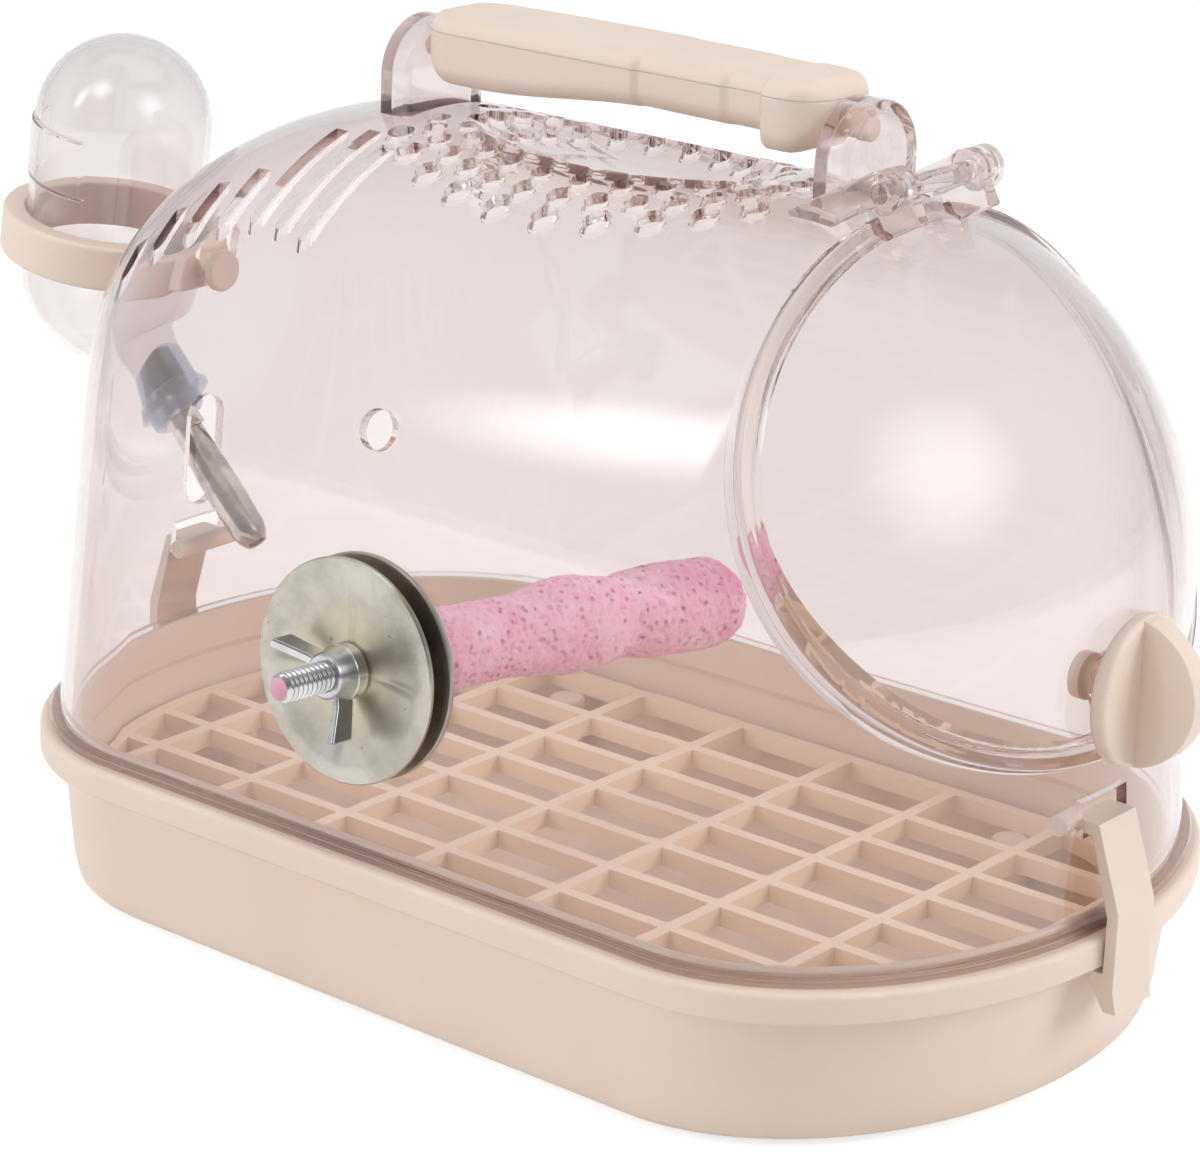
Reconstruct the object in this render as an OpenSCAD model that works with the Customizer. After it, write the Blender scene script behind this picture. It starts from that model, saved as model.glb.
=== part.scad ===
// Travel carrier for a small bird: a shallow oval tray with a lift-out floor grid, a clear
// vaulted cabin with a slanted round door at one end, and a drinking bottle at the other.
// Millimetres. Origin at the centre of the tray's underside, +X towards the door, +Z up.

/* [Tray] */
// Half length of the tray's rim
rim_a = 124; // [122:0.5:128]
// Half width of the tray's rim
rim_b = 77; // [75:0.5:80]
// Height of the tray up to the ledge that the cabin stands on
tray_h = 34; // [30:1:40]
// Thickness of the tray's wall
tray_wall = 2.2; // [1.6:0.1:3]
// Thickness of the tray's floor
tray_floor = 2; // [1.5:0.1:3]
// Height of the thick band round the rim
band_h = 6.5; // [5:0.5:9]
// How far the band stands out from the wall
band_out = 4; // [3:0.5:5]
// How far the tray's sides draw in towards its foot
tray_taper = 2.5; // [1.5:0.5:4]
// How far the tray's ends draw in towards its foot
tray_end_taper = 7; // [4:0.5:9]

/* [Floor grid] */
// Height of the grid's top above the tray's underside
grid_top = 19.5; // [16:0.5:24]
// Depth of the grid's bars
grid_bar_h = 4; // [3:0.5:6]
// Width of the grid's bars
grid_bar_w = 2.8; // [2:0.2:4]
// Spacing of the cross bars
cross_pitch = 27.4; // [24:0.1:30]
// Spacing of the two middle cross bars
cross_mid = 29.6; // [26:0.1:32]
// Number of cross bars
cross_count = 8; // [4:2:8]
// Spacing of the long bars
long_pitch = 15.8; // [14:0.1:18]
// Number of long bars
long_count = 7; // [5:2:9]
// Width of the frame round the grid
grid_frame_w = 3.2; // [2.4:0.2:5]

/* [Cabin] */
// Thickness of the clear wall
wall = 2.2; // [1.6:0.1:3]
// Height of the cabin's top above the tray's underside
cabin_top = 162; // [150:1:175]
// Lean of the side walls, in degrees
side_draft = 4; // [2:0.5:6]
// Lean of the end walls, in degrees
end_draft = 5; // [3:0.5:7]
// Height at which the end walls start to curl over
shoulder_z = 112; // [100:1:118]
// Half length of the straight ridge along the top
ridge_half = 48; // [40:1:55]
// Width of the flange round the cabin's foot
foot_flange_w = 1.5; // [1:0.1:2]
// Height of the flange round the cabin's foot
foot_flange_h = 2.4; // [1.6:0.2:4]

/* [Door] */
// Distance of the door's centre from the middle of the carrier
door_x = 91.5; // [88:0.5:94]
// Height of the door's centre
door_z = 113.5; // [110:0.5:116]
// Lean of the door, in degrees
door_tilt = 29.3; // [26:0.1:32]
// Half height of the door's rim
door_v = 54; // [50:0.5:56]
// Half width of the door's rim
door_w = 66; // [64:0.5:68]
// Radius that the door's rim is bent to across the carrier
door_bend = 220; // [190:5:300]
// Width of the rim round the door and its mouth
door_rim = 5; // [4:0.2:6]
// Thickness of each of the two rims
rim_t = 2; // [1.6:0.1:3]
// How far the clear lid bulges out of its rim
lid_bulge = 21.5; // [16:0.5:24]
// Gap between the two rims
door_gap = 0.3; // [0.2:0.05:0.6]

/* [Door hinge] */
// Diameter of the hinge rod
hinge_rod_d = 4; // [3:0.5:5]
// Radial clearance of the lid's knuckles on the rod
hinge_clear = 0.1; // [0.05:0.01:0.1]
// How far the rod stands in front of the mouth's rim
hinge_out = 9; // [8:0.5:11]
// How far the rod lies above the rim's highest point
hinge_up = 2.5; // [2:0.5:4]
// Distance from the middle to the inner face of a knuckle
knuckle_in = 9.5; // [7:0.5:12]
// Width of a knuckle
knuckle_w = 3.8; // [3:0.2:5]
// Side gap between a knuckle and the cabin's lug
knuckle_gap = 0.3; // [0.2:0.05:0.5]

/* [Latch] */
// Diameter of the turning knob
knob_d = 29; // [24:0.5:30]
// Thickness of the knob's disc
knob_t = 3.5; // [3:0.5:5]
// Height of the knob's finger rib
knob_rib_h = 11.5; // [6:0.5:12]
// Thickness of the finger rib
knob_rib_t = 5; // [4:0.5:7]
// Distance of the knob from the rim's lowest point
knob_up = 11; // [10:0.5:13]
// Height of the knob's back above the mouth's rim
knob_lift = 10.4; // [10:0.2:12]
// Diameter of the knob's spindle
spindle_d = 6; // [5:0.5:7]

/* [Side clips] */
// Width of a clip's strap
clip_w = 12.5; // [10:0.5:13]
// Thickness of a clip's strap
clip_t = 2.4; // [2:0.1:3]
// Width of the slot that a clip hangs in
clip_slot_w = 15; // [14:0.5:17]
// Height of the slot that a clip hangs in
clip_slot_h = 7; // [6.6:0.2:8]
// Height of the slot's middle
clip_slot_z = 56; // [52:0.5:60]
// Diameter of the clip's cross bar
clip_bar_d = 4; // [3.6:0.2:4.4]
// Length of the clip's finger tab under its hook
clip_tab = 4.5; // [2:0.5:9]

/* [Carrying handle] */
// Length of the handle between the ears
handle_l = 99; // [90:1:102]
// Width of the handle
handle_w = 23; // [18:0.5:24]
// Width of the handle's waist
waist_w = 20; // [17:0.5:22]
// Where the waist starts, counted from the middle towards the door
waist_from = 6.5; // [2:0.5:10]
// Length of the full-width block at the handle's door end
block_l = 12; // [8:0.5:14]
// Distance of the handle's middle from the middle of the carrier
handle_x = 2.5; // [0:0.5:4]
// Gap between the roof and the handle's lowest underside
handle_gap = 6.8; // [6:0.2:12]
// Height of the grip from there
handle_h = 14.4; // [13:0.2:15]
// How far the underside rises to the waist
handle_arch = 3.2; // [0:0.2:4]
// Height of the parting line above the lowest underside
parting_h = 10.5; // [9.5:0.5:11]
// Diameter of the handle's pegs
peg_d = 5; // [4:0.5:6]
// Thickness of an ear
ear_t = 8; // [7:0.5:10]
// Half width of an ear
ear_b = 11.5; // [10:0.5:12]
// Height of an ear's top above the handle's pegs
ear_over = 5.7; // [5:0.1:8]

/* [Air vents] */
// Half length of the outermost ring of holes
vent_a = 52; // [50:0.5:54]
// Half width of the outermost ring of holes
vent_b = 32; // [31:0.5:33]
// Distance between the rings of holes along the carrier
vent_step_a = 7.8; // [7:0.1:8.4]
// Distance between the rings of holes across the carrier
vent_step_b = 5.8; // [5.6:0.1:6.2]
// Width of the slots over the bottle end
slot_w = 3.2; // [2.4:0.2:3.6]
// Spacing of the slots over the bottle end
slot_pitch = 7; // [6:0.2:7.4]
// Number of slots on each side
slot_count = 7; // [3:1:7]
// Depth of the finger hollow under the handle
dish_depth = 5; // [3:0.5:7]

/* [Bottle] */
// Radius of the bottle
bottle_r = 19.2; // [16:0.2:19.6]
// Thickness of the bottle's wall
bottle_wall = 1.4; // [1:0.1:2]
// Distance of the bottle's round end from the middle of the carrier
bottle_x = 140; // [139:0.5:143]
// Height of the middle of the bottle's round end
bulb_z = 143.5; // [140:0.5:146]
// Lean of the bottle towards the cabin, in degrees
bottle_tilt = 8; // [5:0.5:9]
// Distance along the bottle from its round end to the ring's underside
ring_down = 30.5; // [28:0.5:32]
// Height of the bracket's ring
ring_h = 10; // [8:0.5:12]
// Width of the bracket's ring
ring_t = 4.8; // [3:0.2:5]
// Height of the peg that the bottle hangs on
keyhole_z = 116; // [113:0.5:118]
// Slope of the drinking spout, in degrees below level
spout_slope = 44; // [42:1:52]
// Outer diameter of the spout's inner tube
spout_d = 8; // [6:0.5:8]
// Length of the spout beyond the stopper
spout_l = 40; // [30:1:42]
// Diameter of the ball at the spout's tip
ball_d = 4.4; // [3.6:0.2:4.8]
// How far the bottle lifts in its keyhole
bottle_lift = 5; // [3:0.5:6]

/* [Perch] */
// Length of the perch
perch_l = 96; // [80:1:110]
// Diameter of the perch
perch_d = 19.5; // [16:0.5:22]
// How far the perch's tip bends towards the door
perch_bend = 13; // [0:1:16]
// Diameter of the threaded stud
stud_d = 6; // [5:0.5:8]
// How far the stud stands out of the outer washer
stud_out = 19; // [16:1:24]
// Diameter of the clamping washers
washer_d = 44; // [36:1:50]
// Thickness of the clamping washers
washer_t = 1.2; // [1:0.1:1.8]
// How far a washer's rim stands off the wall
washer_cup = 1.5; // [0:0.1:2.5]
// Height of the perch's hole in the wall
perch_z = 70.5; // [68:0.5:80]
// Distance of the perch's hole from the middle
perch_x = -5.5; // [-10:0.5:10]
// Diameter of the spare hole in the near wall
side_hole_d = 8; // [6:0.5:10]
// Height of the spare hole
side_hole_z = 116.5; // [112:0.5:122]

/* [Hidden] */
$fn = 48;
CREAM = [0.93, 0.87, 0.79];
CLEAR = [0.86, 0.83, 0.84, 0.35];
STEEL = [0.72, 0.72, 0.73];
eps = 0.01;
fit = 0.3;
long = 400;

// Plan of the cabin: an oval with half-ellipse ends. The straight part's half length follows
// from the half length and half width, so that every end has the same roundness.
end_ratio = 0.71;
end_steps = 22;

// The cabin stands inside the tray's rim, round a low lip, and its flange reaches nearly
// to the band's edge.
foot_inset = 3.5;
foot_a = rim_a - foot_inset;
foot_b = rim_b - foot_inset;
lip_t = 1.6;
lip_h = 2.4;
lip_inset = foot_inset + wall + fit;
pad_d = 8;
pad_x = 60;
pad_in = 16;
grid_inset = band_out + tray_wall + 3.2;
arch_r = (foot_b - (cabin_top - tray_h) * tan(side_draft)) / (1 / cos(side_draft) - tan(side_draft));
arch_z = cabin_top - arch_r;
shoulder_a = foot_a - (shoulder_z - tray_h) * tan(end_draft);
shoulder_h = cabin_top - shoulder_z;
arch_steps = 15;

// Frame of the door: x runs down the slope, y across, z out of the carrier.
mouth_v = door_v - door_rim;
mouth_w = door_w - door_rim;
lid_edge_w = 2.4;
lid_v = door_v - lid_edge_w;
lid_w = door_w - lid_edge_w;
lid_base = door_gap + rim_t;
lid_r = (pow(lid_v, 2) + pow(lid_bulge, 2)) / (2 * lid_bulge);
lid_edge = asin(lid_v / lid_r);
lid_steps = 7;
hinge_n = hinge_out;
hinge_v = door_v + hinge_up;
knuckle_r = hinge_rod_d / 2 + 2.2;
lug_in = knuckle_in + knuckle_w + knuckle_gap;
lug_w = 3.8;
rod_half = lug_in + lug_w;

// Latch: the knob's spindle is level, and its tongue turns behind the mouth's rim.
knob_v = door_v - knob_up;
knob_n = knob_lift;
knob_x = door_x + sin(door_tilt) * knob_v + cos(door_tilt) * knob_n;
knob_z = door_z - cos(door_tilt) * knob_v + sin(door_tilt) * knob_n;
rim_back_x = door_x + sin(door_tilt) * mouth_v - cos(door_tilt) * rim_t;
rim_back_z = door_z - cos(door_tilt) * mouth_v - sin(door_tilt) * rim_t;
tongue_t = 2.2;
tongue_gap = 1.2;
tongue_l = knob_z - rim_back_z + 3.5;
tongue_w = 5;
boss_l = 6;
knob_gap = 0.2;
spindle_clear = 0.09;
spindle_l = knob_x - rim_back_x + tongue_gap;

// Clips: the cross bar lies just inside the end wall.
clip_bar_z = clip_slot_z - 1.6;
clip_wall_x = foot_a - (clip_bar_z - tray_h) * tan(end_draft);
clip_bar_x = clip_wall_x - wall - clip_bar_d / 2 - 1;
clip_out_x = rim_a + fit;
hook_gap = 0.8;
hook_t = 3;
hook_in = 2.6;

// Handle: it turns on two pegs that reach through the ears' inner walls.
handle_z = cabin_top + handle_gap;
pivot_z = handle_z + 5.5;
ear_top = pivot_z + ear_over;
waist_to = handle_l / 2 - block_l;
ear_in = handle_l / 2 + fit;
ear_wall = 2;
peg_clear = 0.05;
peg_l = ear_wall + 3;
handle_corner = 8;
handle_round = 4;

// Bottle and its keyhole in the end wall.
keyhole_x = foot_a - (keyhole_z - tray_h) * tan(end_draft);
peg_neck_d = 6;
peg_head_d = 9;
peg_head_t = 2.4;
peg_play = 0.5;
keyhole_d = 12;
stopper_x = 127.5;
stopper_z = 85;
spout_slot_w = spout_d + 2;
spout_slot_low = stopper_z - (stopper_x - keyhole_x) * tan(spout_slope) - 4;
spout_slot_high = spout_slot_low + bottle_lift + 10.2;
neck_r = 8;
neck_l = 10;
plug_l = 9;
plug_gap = 0.02;
stopper_flange_t = 3;
stopper_collar_l = 3.5;
sleeve_out = 4.5;
tip_t = 2;
tip_lip = 0.35;
stopper_flange_d = 19;
spout_wall = 0.5;

// Perch: its axis is square to the leaning side wall.
perch_y = foot_b - (perch_z - tray_h) * tan(side_draft);
side_hole_x = -6;
thread_clear = 0.05;
perch_rings = 16;
stick_base = -wall - washer_t;
stud_in = 21.5;
washer_hub_r = 10.5;
washer_rim_w = 3;
nut_h = 7;

function half_width(z) = z < arch_z + arch_r * sin(side_draft)
    ? foot_b - (z - tray_h) * tan(side_draft)
    : sqrt(max(0, pow(arch_r, 2) - pow(z - arch_z, 2)));

function oval(a, b, s) = concat(
    [for (i = [0:end_steps]) let (t = -90 + 180 * i / end_steps) [s + (a - s) * cos(t), b * sin(t)]],
    [for (i = [0:end_steps]) let (t = 90 + 180 * i / end_steps) [-s + (a - s) * cos(t), b * sin(t)]]);

function ellipse(a, b, n = 72) = [for (i = [0:n - 1]) [a * cos(360 * i / n), b * sin(360 * i / n)]];

// An outline at one height, and one that sinks towards its sides on the door's bend.
function level(outline, z) = [for (p = outline) [p[0], p[1], z]];

function bent(outline, z) = [for (p = outline)
    [p[0], p[1], z - door_bend + sqrt(pow(door_bend, 2) - pow(p[1], 2))]];

// A closed solid through a row of rings with equal numbers of points.
module loft(rings) {
    n = len(rings[0]);
    m = len(rings);
    points = [for (ring = rings) each ring];
    sides = [for (k = [0:m - 2]) for (i = [0:n - 1]) let (j = (i + 1) % n)
        each [[k * n + i, (k + 1) * n + j, k * n + j], [k * n + i, (k + 1) * n + i, (k + 1) * n + j]]];
    foot = [for (i = [0:n - 1]) i];
    top = [for (i = [n - 1:-1:0]) (m - 1) * n + i];
    polyhedron(points, concat([foot, top], sides), convexity = 6);
}

// The cabin's rounded body, drawn in by the given inset, from height z0 up.
module cabin_body(inset, z0) {
    r = arch_r - inset;
    side_heights = [for (i = [0:3]) z0 + (arch_z + r * sin(side_draft) - z0) * i / 4];
    arch_heights = [for (i = [0:arch_steps]) let (t = side_draft + (86 - side_draft) * i / arch_steps)
        arch_z + r * sin(t)];
    heights = concat(side_heights, arch_heights);
    outlines = [for (z = heights) let (
        b = z < arch_z + r * sin(side_draft)
            ? foot_b - inset / cos(side_draft) - (z - tray_h) * tan(side_draft)
            : sqrt(pow(r, 2) - pow(z - arch_z, 2)),
        a = z < shoulder_z
            ? foot_a - inset - (z - tray_h) * tan(end_draft)
            : ridge_half + (shoulder_a - inset - ridge_half)
                * sqrt(max(0, 1 - pow((z - shoulder_z) / (shoulder_h - inset), 2))))
        oval(a, b, a - end_ratio * b)];
    loft([for (i = [0:len(heights) - 1]) level(outlines[i], heights[i])]);
}

// Puts its children in the door's frame.
module at_door() {
    translate([door_x, 0, door_z]) rotate([0, 90 - door_tilt, 0]) children();
}

// Puts its children in the knob's frame, whose z runs level out of the carrier.
module at_knob() {
    at_door() translate([knob_v, 0, knob_n]) rotate([0, door_tilt, 0]) children();
}

// A drum whose skin is the door's bent plane, moved out by the given distance.
module door_drum(out) {
    at_door() translate([0, 0, -door_bend]) rotate([0, 90, 0])
        cylinder(r = door_bend + out, h = 1.5 * long, center = true, $fn = 180);
}

// An oval ring on the door's bend: outer and inner half sizes, and its place along the normal.
module door_ring(v, w, hole_v, hole_w, from, to) {
    intersection() {
        at_door() translate([0, 0, -30]) linear_extrude(60) difference() {
            polygon(ellipse(v, w));
            polygon(ellipse(hole_v, hole_w));
        }
        difference() {
            door_drum(to);
            door_drum(from);
        }
    }
}

module at_perch() {
    translate([perch_x, -perch_y, perch_z]) rotate([90 - side_draft, 0, 0]) children();
}

module at_bottle() {
    translate([-bottle_x, 0, bulb_z]) rotate([0, bottle_tilt, 0]) children();
}

module at_spout() {
    translate([-stopper_x, 0, stopper_z]) rotate([0, 90 + spout_slope, 0]) children();
}

// Oval plan whose edge lies the given inset inside the tray's rim, and further in at its ends.
function rim_oval(inset, end_inset = 0) = oval(rim_a - inset - end_inset, rim_b - inset,
    rim_a - inset - end_inset - end_ratio * (rim_b - inset));

// One level of the tray's wall, drawn in by a share of the taper and a further inset.
function tray_ring(share, inset, z) = level(rim_oval(band_out + share * tray_taper + inset,
    share * (tray_end_taper - tray_taper)), z);

module rim_prism(inset, h) {
    linear_extrude(h) polygon(rim_oval(inset));
}

module tray() {
    band_z = tray_h - band_h;
    pad_h = grid_top - grid_bar_h - tray_floor;
    lip_step = lip_inset + lip_t - band_out;
    color(CREAM) {
        difference() {
            union() {
                loft([tray_ring(1, 0, 0), tray_ring(0.55, 0, 2.5), tray_ring(0.42, 0, 6),
                    tray_ring(0, 0, tray_h)]);
                translate([0, 0, band_z]) rim_prism(0, band_h);
                translate([0, 0, band_z]) rim_prism(lip_inset, band_h + lip_h);
            }
            loft([tray_ring(1, tray_wall, tray_floor), tray_ring(0.55, tray_wall, tray_floor + 2),
                tray_ring(0.42, tray_wall, tray_floor + 5), tray_ring(0, tray_wall, band_z - 1.5),
                tray_ring(0, lip_step, band_z), tray_ring(0, lip_step, tray_h + lip_h + 1)]);
        }
        for (sx = [-1, 1], sy = [-1, 1])
            translate([sx * pad_x, sy * (rim_b - pad_in), tray_floor - eps]) cylinder(d = pad_d, h = pad_h + eps);
        for (sx = [-1, 1])
            translate([sx * (rim_a - pad_in - 4), 0, tray_floor - eps]) cylinder(d = pad_d, h = pad_h + eps);
    }
}

module floor_grid() {
    color(CREAM) translate([0, 0, grid_top - grid_bar_h]) {
        difference() {
            rim_prism(grid_inset, grid_bar_h);
            translate([0, 0, -1]) rim_prism(grid_inset + grid_frame_w, grid_bar_h + 2);
        }
        intersection() {
            rim_prism(grid_inset + 1, grid_bar_h);
            union() {
                for (i = [0:cross_count / 2 - 1], s = [-1, 1])
                    translate([s * (cross_mid / 2 + i * cross_pitch) - grid_bar_w / 2, -rim_b, 0])
                        cube([grid_bar_w, 2 * rim_b, grid_bar_h]);
                for (i = [-(long_count - 1) / 2:(long_count - 1) / 2])
                    translate([-rim_a, i * long_pitch - grid_bar_w / 2, 0])
                        cube([2 * rim_a, grid_bar_w, grid_bar_h]);
            }
        }
    }
}

// Shallow oval hollow under the handle, grown by the given amount.
module finger_dish(grow) {
    above = 2;
    depth = [dish_depth, dish_depth * 0.8, dish_depth * 0.4, -above];
    size_a = [16, 26, 35, 42];
    size_b = [6, 11, 16, 21];
    loft([for (i = [0:3]) level(ellipse(size_a[i] + grow, size_b[i] + grow, 36),
        cabin_top - depth[i] - grow)]);
}

// Rings of round holes round the finger hollow, and slots over the bottle end's shoulder.
module air_vents() {
    hole_d = [6, 5.4, 5, 4.6];
    hole_count = [28, 32, 24, 20];
    vent_off = 4;
    slot_in = [23, 19, 21, 36, 40, 45, 49];
    slot_out = [46, 45, 45, 47, 49, 51, 53];
    for (ring = [0:3]) {
        a = vent_a - ring * vent_step_a;
        b = vent_b - ring * vent_step_b;
        for (i = [0:hole_count[ring] - 1]) {
            t = 360 * (i + 0.5) / hole_count[ring];
            if (abs(a * cos(t) - handle_x) < ear_in - vent_off || abs(b * sin(t)) > ear_b + vent_off)
                translate([a * cos(t), b * sin(t), cabin_top - 20]) cylinder(d = hole_d[ring], h = 30, $fn = 24);
        }
    }
    for (i = [0:slot_count - 1], side = [-1, 1]) {
        middle = side * (slot_in[i] + slot_out[i]) / 2;
        translate([-42 - i * slot_pitch, middle, cabin_top]) {
            cube([slot_w, slot_out[i] - slot_in[i], shoulder_h + 40], center = true);
            translate([0, side * slot_out[i] - middle, 0])
                cylinder(d = slot_w, h = shoulder_h + 40, center = true);
        }
    }
}

// Outline of an ear, a tombstone shape in the plane across the carrier.
module ear_outline(inset) {
    r = ear_b - inset;
    translate([0, ear_top - ear_b]) circle(r = r, $fn = 64);
    translate([-r, cabin_top - 12]) square([2 * r, ear_top - ear_b - cabin_top + 12]);
}

// An upright slab on an ear's outline between two distances from the middle.
module ear_slab(side, x0, x1, inset) {
    translate([handle_x, 0, 0]) mirror([side < 0 ? 1 : 0, 0, 0]) translate([x0, 0, 0]) rotate([90, 0, 90])
        linear_extrude(x1 - x0) ear_outline(inset);
}

module cabin() {
    color(CLEAR) difference() {
        union() {
            intersection() {
                cabin_body(0, tray_h);
                door_drum(0);
            }
            translate([0, 0, tray_h]) rim_prism(foot_inset - foot_flange_w, foot_flange_h);
            door_ring(door_v, door_w, mouth_v, mouth_w, -rim_t, 0);
            for (side = [-1, 1]) ear_slab(side, ear_in, ear_in + ear_t, 0);
            hinge_lugs();
        }
        difference() {
            union() {
                cabin_body(wall, tray_h - 1);
                for (side = [-1, 1]) ear_slab(side, ear_in + ear_wall, ear_in + ear_t - ear_wall, ear_wall);
            }
            finger_dish(wall);
            door_ring(door_v, door_w, mouth_v, mouth_w, -rim_t, 1);
        }
        finger_dish(0);
        air_vents();
        for (side = [-1, 1]) translate([handle_x + side * (ear_in + ear_wall / 2), 0, pivot_z])
            rotate([0, 90, 0]) cylinder(d = peg_d + 2 * peg_clear, h = ear_wall + 1, center = true);
        wall_openings();
        at_door() translate([-hinge_v, 0, hinge_n]) rotate([90, 0, 0])
            cylinder(d = hinge_rod_d, h = 2 * rod_half + 2, center = true);
    }
}

// Lugs on the cabin that hold the hinge rod's two ends.
module hinge_lugs() {
    root = 12;
    lid_gap = 0.6;
    for (side = [-1, 1]) at_door() {
        y0 = side > 0 ? lug_in : -lug_in - lug_w;
        translate([-hinge_v, y0, hinge_n]) rotate([-90, 0, 0]) cylinder(r = knuckle_r, h = lug_w);
        translate([-hinge_v - knuckle_r, y0, -root])
            cube([hinge_v + knuckle_r - door_v - lid_gap, lug_w, hinge_n + root]);
    }
}

// Slots, keyhole and round holes in the walls.
module wall_openings() {
    for (side = [-1, 1]) translate([side * clip_wall_x, 0, clip_slot_z])
        cube([16, clip_slot_w, clip_slot_h], center = true);
    translate([-keyhole_x, 0, keyhole_z + bottle_lift]) rotate([0, 90, 0])
        cylinder(d = keyhole_d, h = 12, center = true);
    translate([-keyhole_x, 0, keyhole_z + bottle_lift / 2])
        cube([12, peg_neck_d + 2 * fit, bottle_lift + peg_neck_d + 2 * fit], center = true);
    for (z = [spout_slot_low, spout_slot_high]) translate([-keyhole_x - 2, 0, z]) rotate([0, 90, 0])
        cylinder(d = spout_slot_w, h = 16, center = true);
    translate([-keyhole_x - 10, -spout_slot_w / 2, spout_slot_low])
        cube([16, spout_slot_w, spout_slot_high - spout_slot_low]);
    at_perch() cylinder(d = stud_d + 1, h = 20, center = true);
    translate([side_hole_x, -half_width(side_hole_z), side_hole_z]) rotate([70, 0, 0])
        cylinder(d = side_hole_d, h = 20, center = true);
}

module door_lid() {
    angles = [for (i = [0:lid_steps]) lid_edge * (1 - i / (lid_steps + 0.5))];
    function bulge(shrink) = [for (t = angles) bent(
        ellipse((lid_r - shrink) * sin(t), (lid_r - shrink) * sin(t) * lid_w / lid_v, 48),
        lid_base + (lid_r - shrink) * cos(t) - lid_r * cos(lid_edge))];
    inner = bulge(wall);
    color(CLEAR) difference() {
        union() {
            door_ring(door_v, door_w, mouth_v, mouth_w, door_gap, lid_base);
            at_door() loft(concat([for (i = [lid_steps:-1:0]) inner[i]], bulge(0)));
            at_knob() translate([0, 0, -boss_l]) cylinder(d = spindle_d + 6, h = boss_l - knob_gap);
            at_door() for (side = [-1, 1]) {
                y0 = side > 0 ? knuckle_in : -knuckle_in - knuckle_w;
                translate([-hinge_v, y0, hinge_n]) rotate([-90, 0, 0]) cylinder(r = knuckle_r, h = knuckle_w);
                translate([-hinge_v, y0, door_gap + 0.2]) cube([8, knuckle_w, hinge_n + knuckle_r * 0.7]);
            }
        }
        at_knob() cylinder(d = spindle_d + 2 * spindle_clear, h = 40, center = true);
        at_door() translate([-hinge_v, 0, hinge_n]) rotate([90, 0, 0])
            cylinder(d = hinge_rod_d + 2 * hinge_clear, h = 2 * rod_half, center = true);
    }
}

module hinge_rod() {
    color(CLEAR) at_door() translate([-hinge_v, 0, hinge_n]) rotate([90, 0, 0])
        cylinder(d = hinge_rod_d, h = 2 * rod_half, center = true);
}

module latch_knob() {
    color(CREAM) at_knob() {
        cylinder(d = knob_d, h = knob_t, $fn = 96);
        intersection() {
            translate([-knob_d / 2, -knob_rib_t / 2, knob_t - eps])
                cube([knob_d, knob_rib_t, knob_rib_h]);
            translate([0, 0, knob_t + knob_rib_h - knob_d / 2]) rotate([90, 0, 0])
                cylinder(d = knob_d, h = knob_rib_t + 2, center = true, $fn = 96);
        }
        translate([0, 0, -spindle_l]) cylinder(d = spindle_d, h = spindle_l + eps);
    }
}

// The tongue lies across the door at rest and points down behind the rim when locked.
module latch_tongue() {
    color(CREAM) at_knob() translate([0, 0, -spindle_l - tongue_t]) {
        cylinder(d = spindle_d + 3, h = tongue_t);
        translate([-tongue_w / 2, 0, 0]) cube([tongue_w, tongue_l, tongue_t]);
    }
}

// A clip in the plane across its hinge, drawn for the door end; its strap leaves the cross
// bar level, leans out over the cabin's foot and drops past the band to its hook.
module clip_outline() {
    step_x = clip_wall_x + 1.2;
    bend = 1.2;
    knee_z = tray_h + 4;
    face_x = clip_out_x + clip_t;
    low = tray_h - band_h - hook_gap;
    tab_z = low - hook_t - clip_tab;
    tab_flare = 1;
    polygon([[clip_bar_x, clip_bar_z + clip_t / 2], [step_x + bend, clip_bar_z + clip_t / 2],
        [face_x, knee_z + 1], [face_x, low - hook_t],
        [face_x + tab_flare, tab_z], [clip_out_x + 0.6 * tab_flare, tab_z],
        [clip_out_x - hook_in, low - hook_t + 0.8], [clip_out_x - hook_in, low], [clip_out_x, low],
        [clip_out_x, knee_z], [step_x, clip_bar_z - clip_t / 2], [clip_bar_x, clip_bar_z - clip_t / 2]]);
}

module clip(side) {
    color(CREAM) mirror([side < 0 ? 1 : 0, 0, 0]) {
        rotate([90, 0, 0]) translate([0, 0, -clip_w / 2]) linear_extrude(clip_w) clip_outline();
        translate([clip_bar_x, 0, clip_bar_z]) rotate([90, 0, 0])
            cylinder(d = clip_bar_d, h = clip_slot_w + 4, center = true);
    }
}

module door_end_clip() {
    clip(1);
}

module bottle_end_clip() {
    clip(-1);
}

// Points on an arc round a centre.
function arc(x, y, r, from, to, n = 8) = [for (i = [0:n]) let (t = from + (to - from) * i / n)
    [x + r * cos(t), y + r * sin(t)]];

// Plan of the handle, with rounded ends and a narrower waist towards the door.
module handle_plan() {
    x = handle_l / 2 - handle_corner;
    y = handle_w / 2 - handle_corner;
    difference() {
        polygon(concat(arc(x, -y, handle_corner, -90, 0), arc(x, y, handle_corner, 0, 90),
            arc(-x, y, handle_corner, 90, 180), arc(-x, -y, handle_corner, 180, 270)));
        for (side = [-1, 1]) translate([waist_from, side > 0 ? waist_w / 2 : -handle_w])
            square([waist_to - waist_from, handle_w - waist_w / 2]);
    }
}

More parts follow.
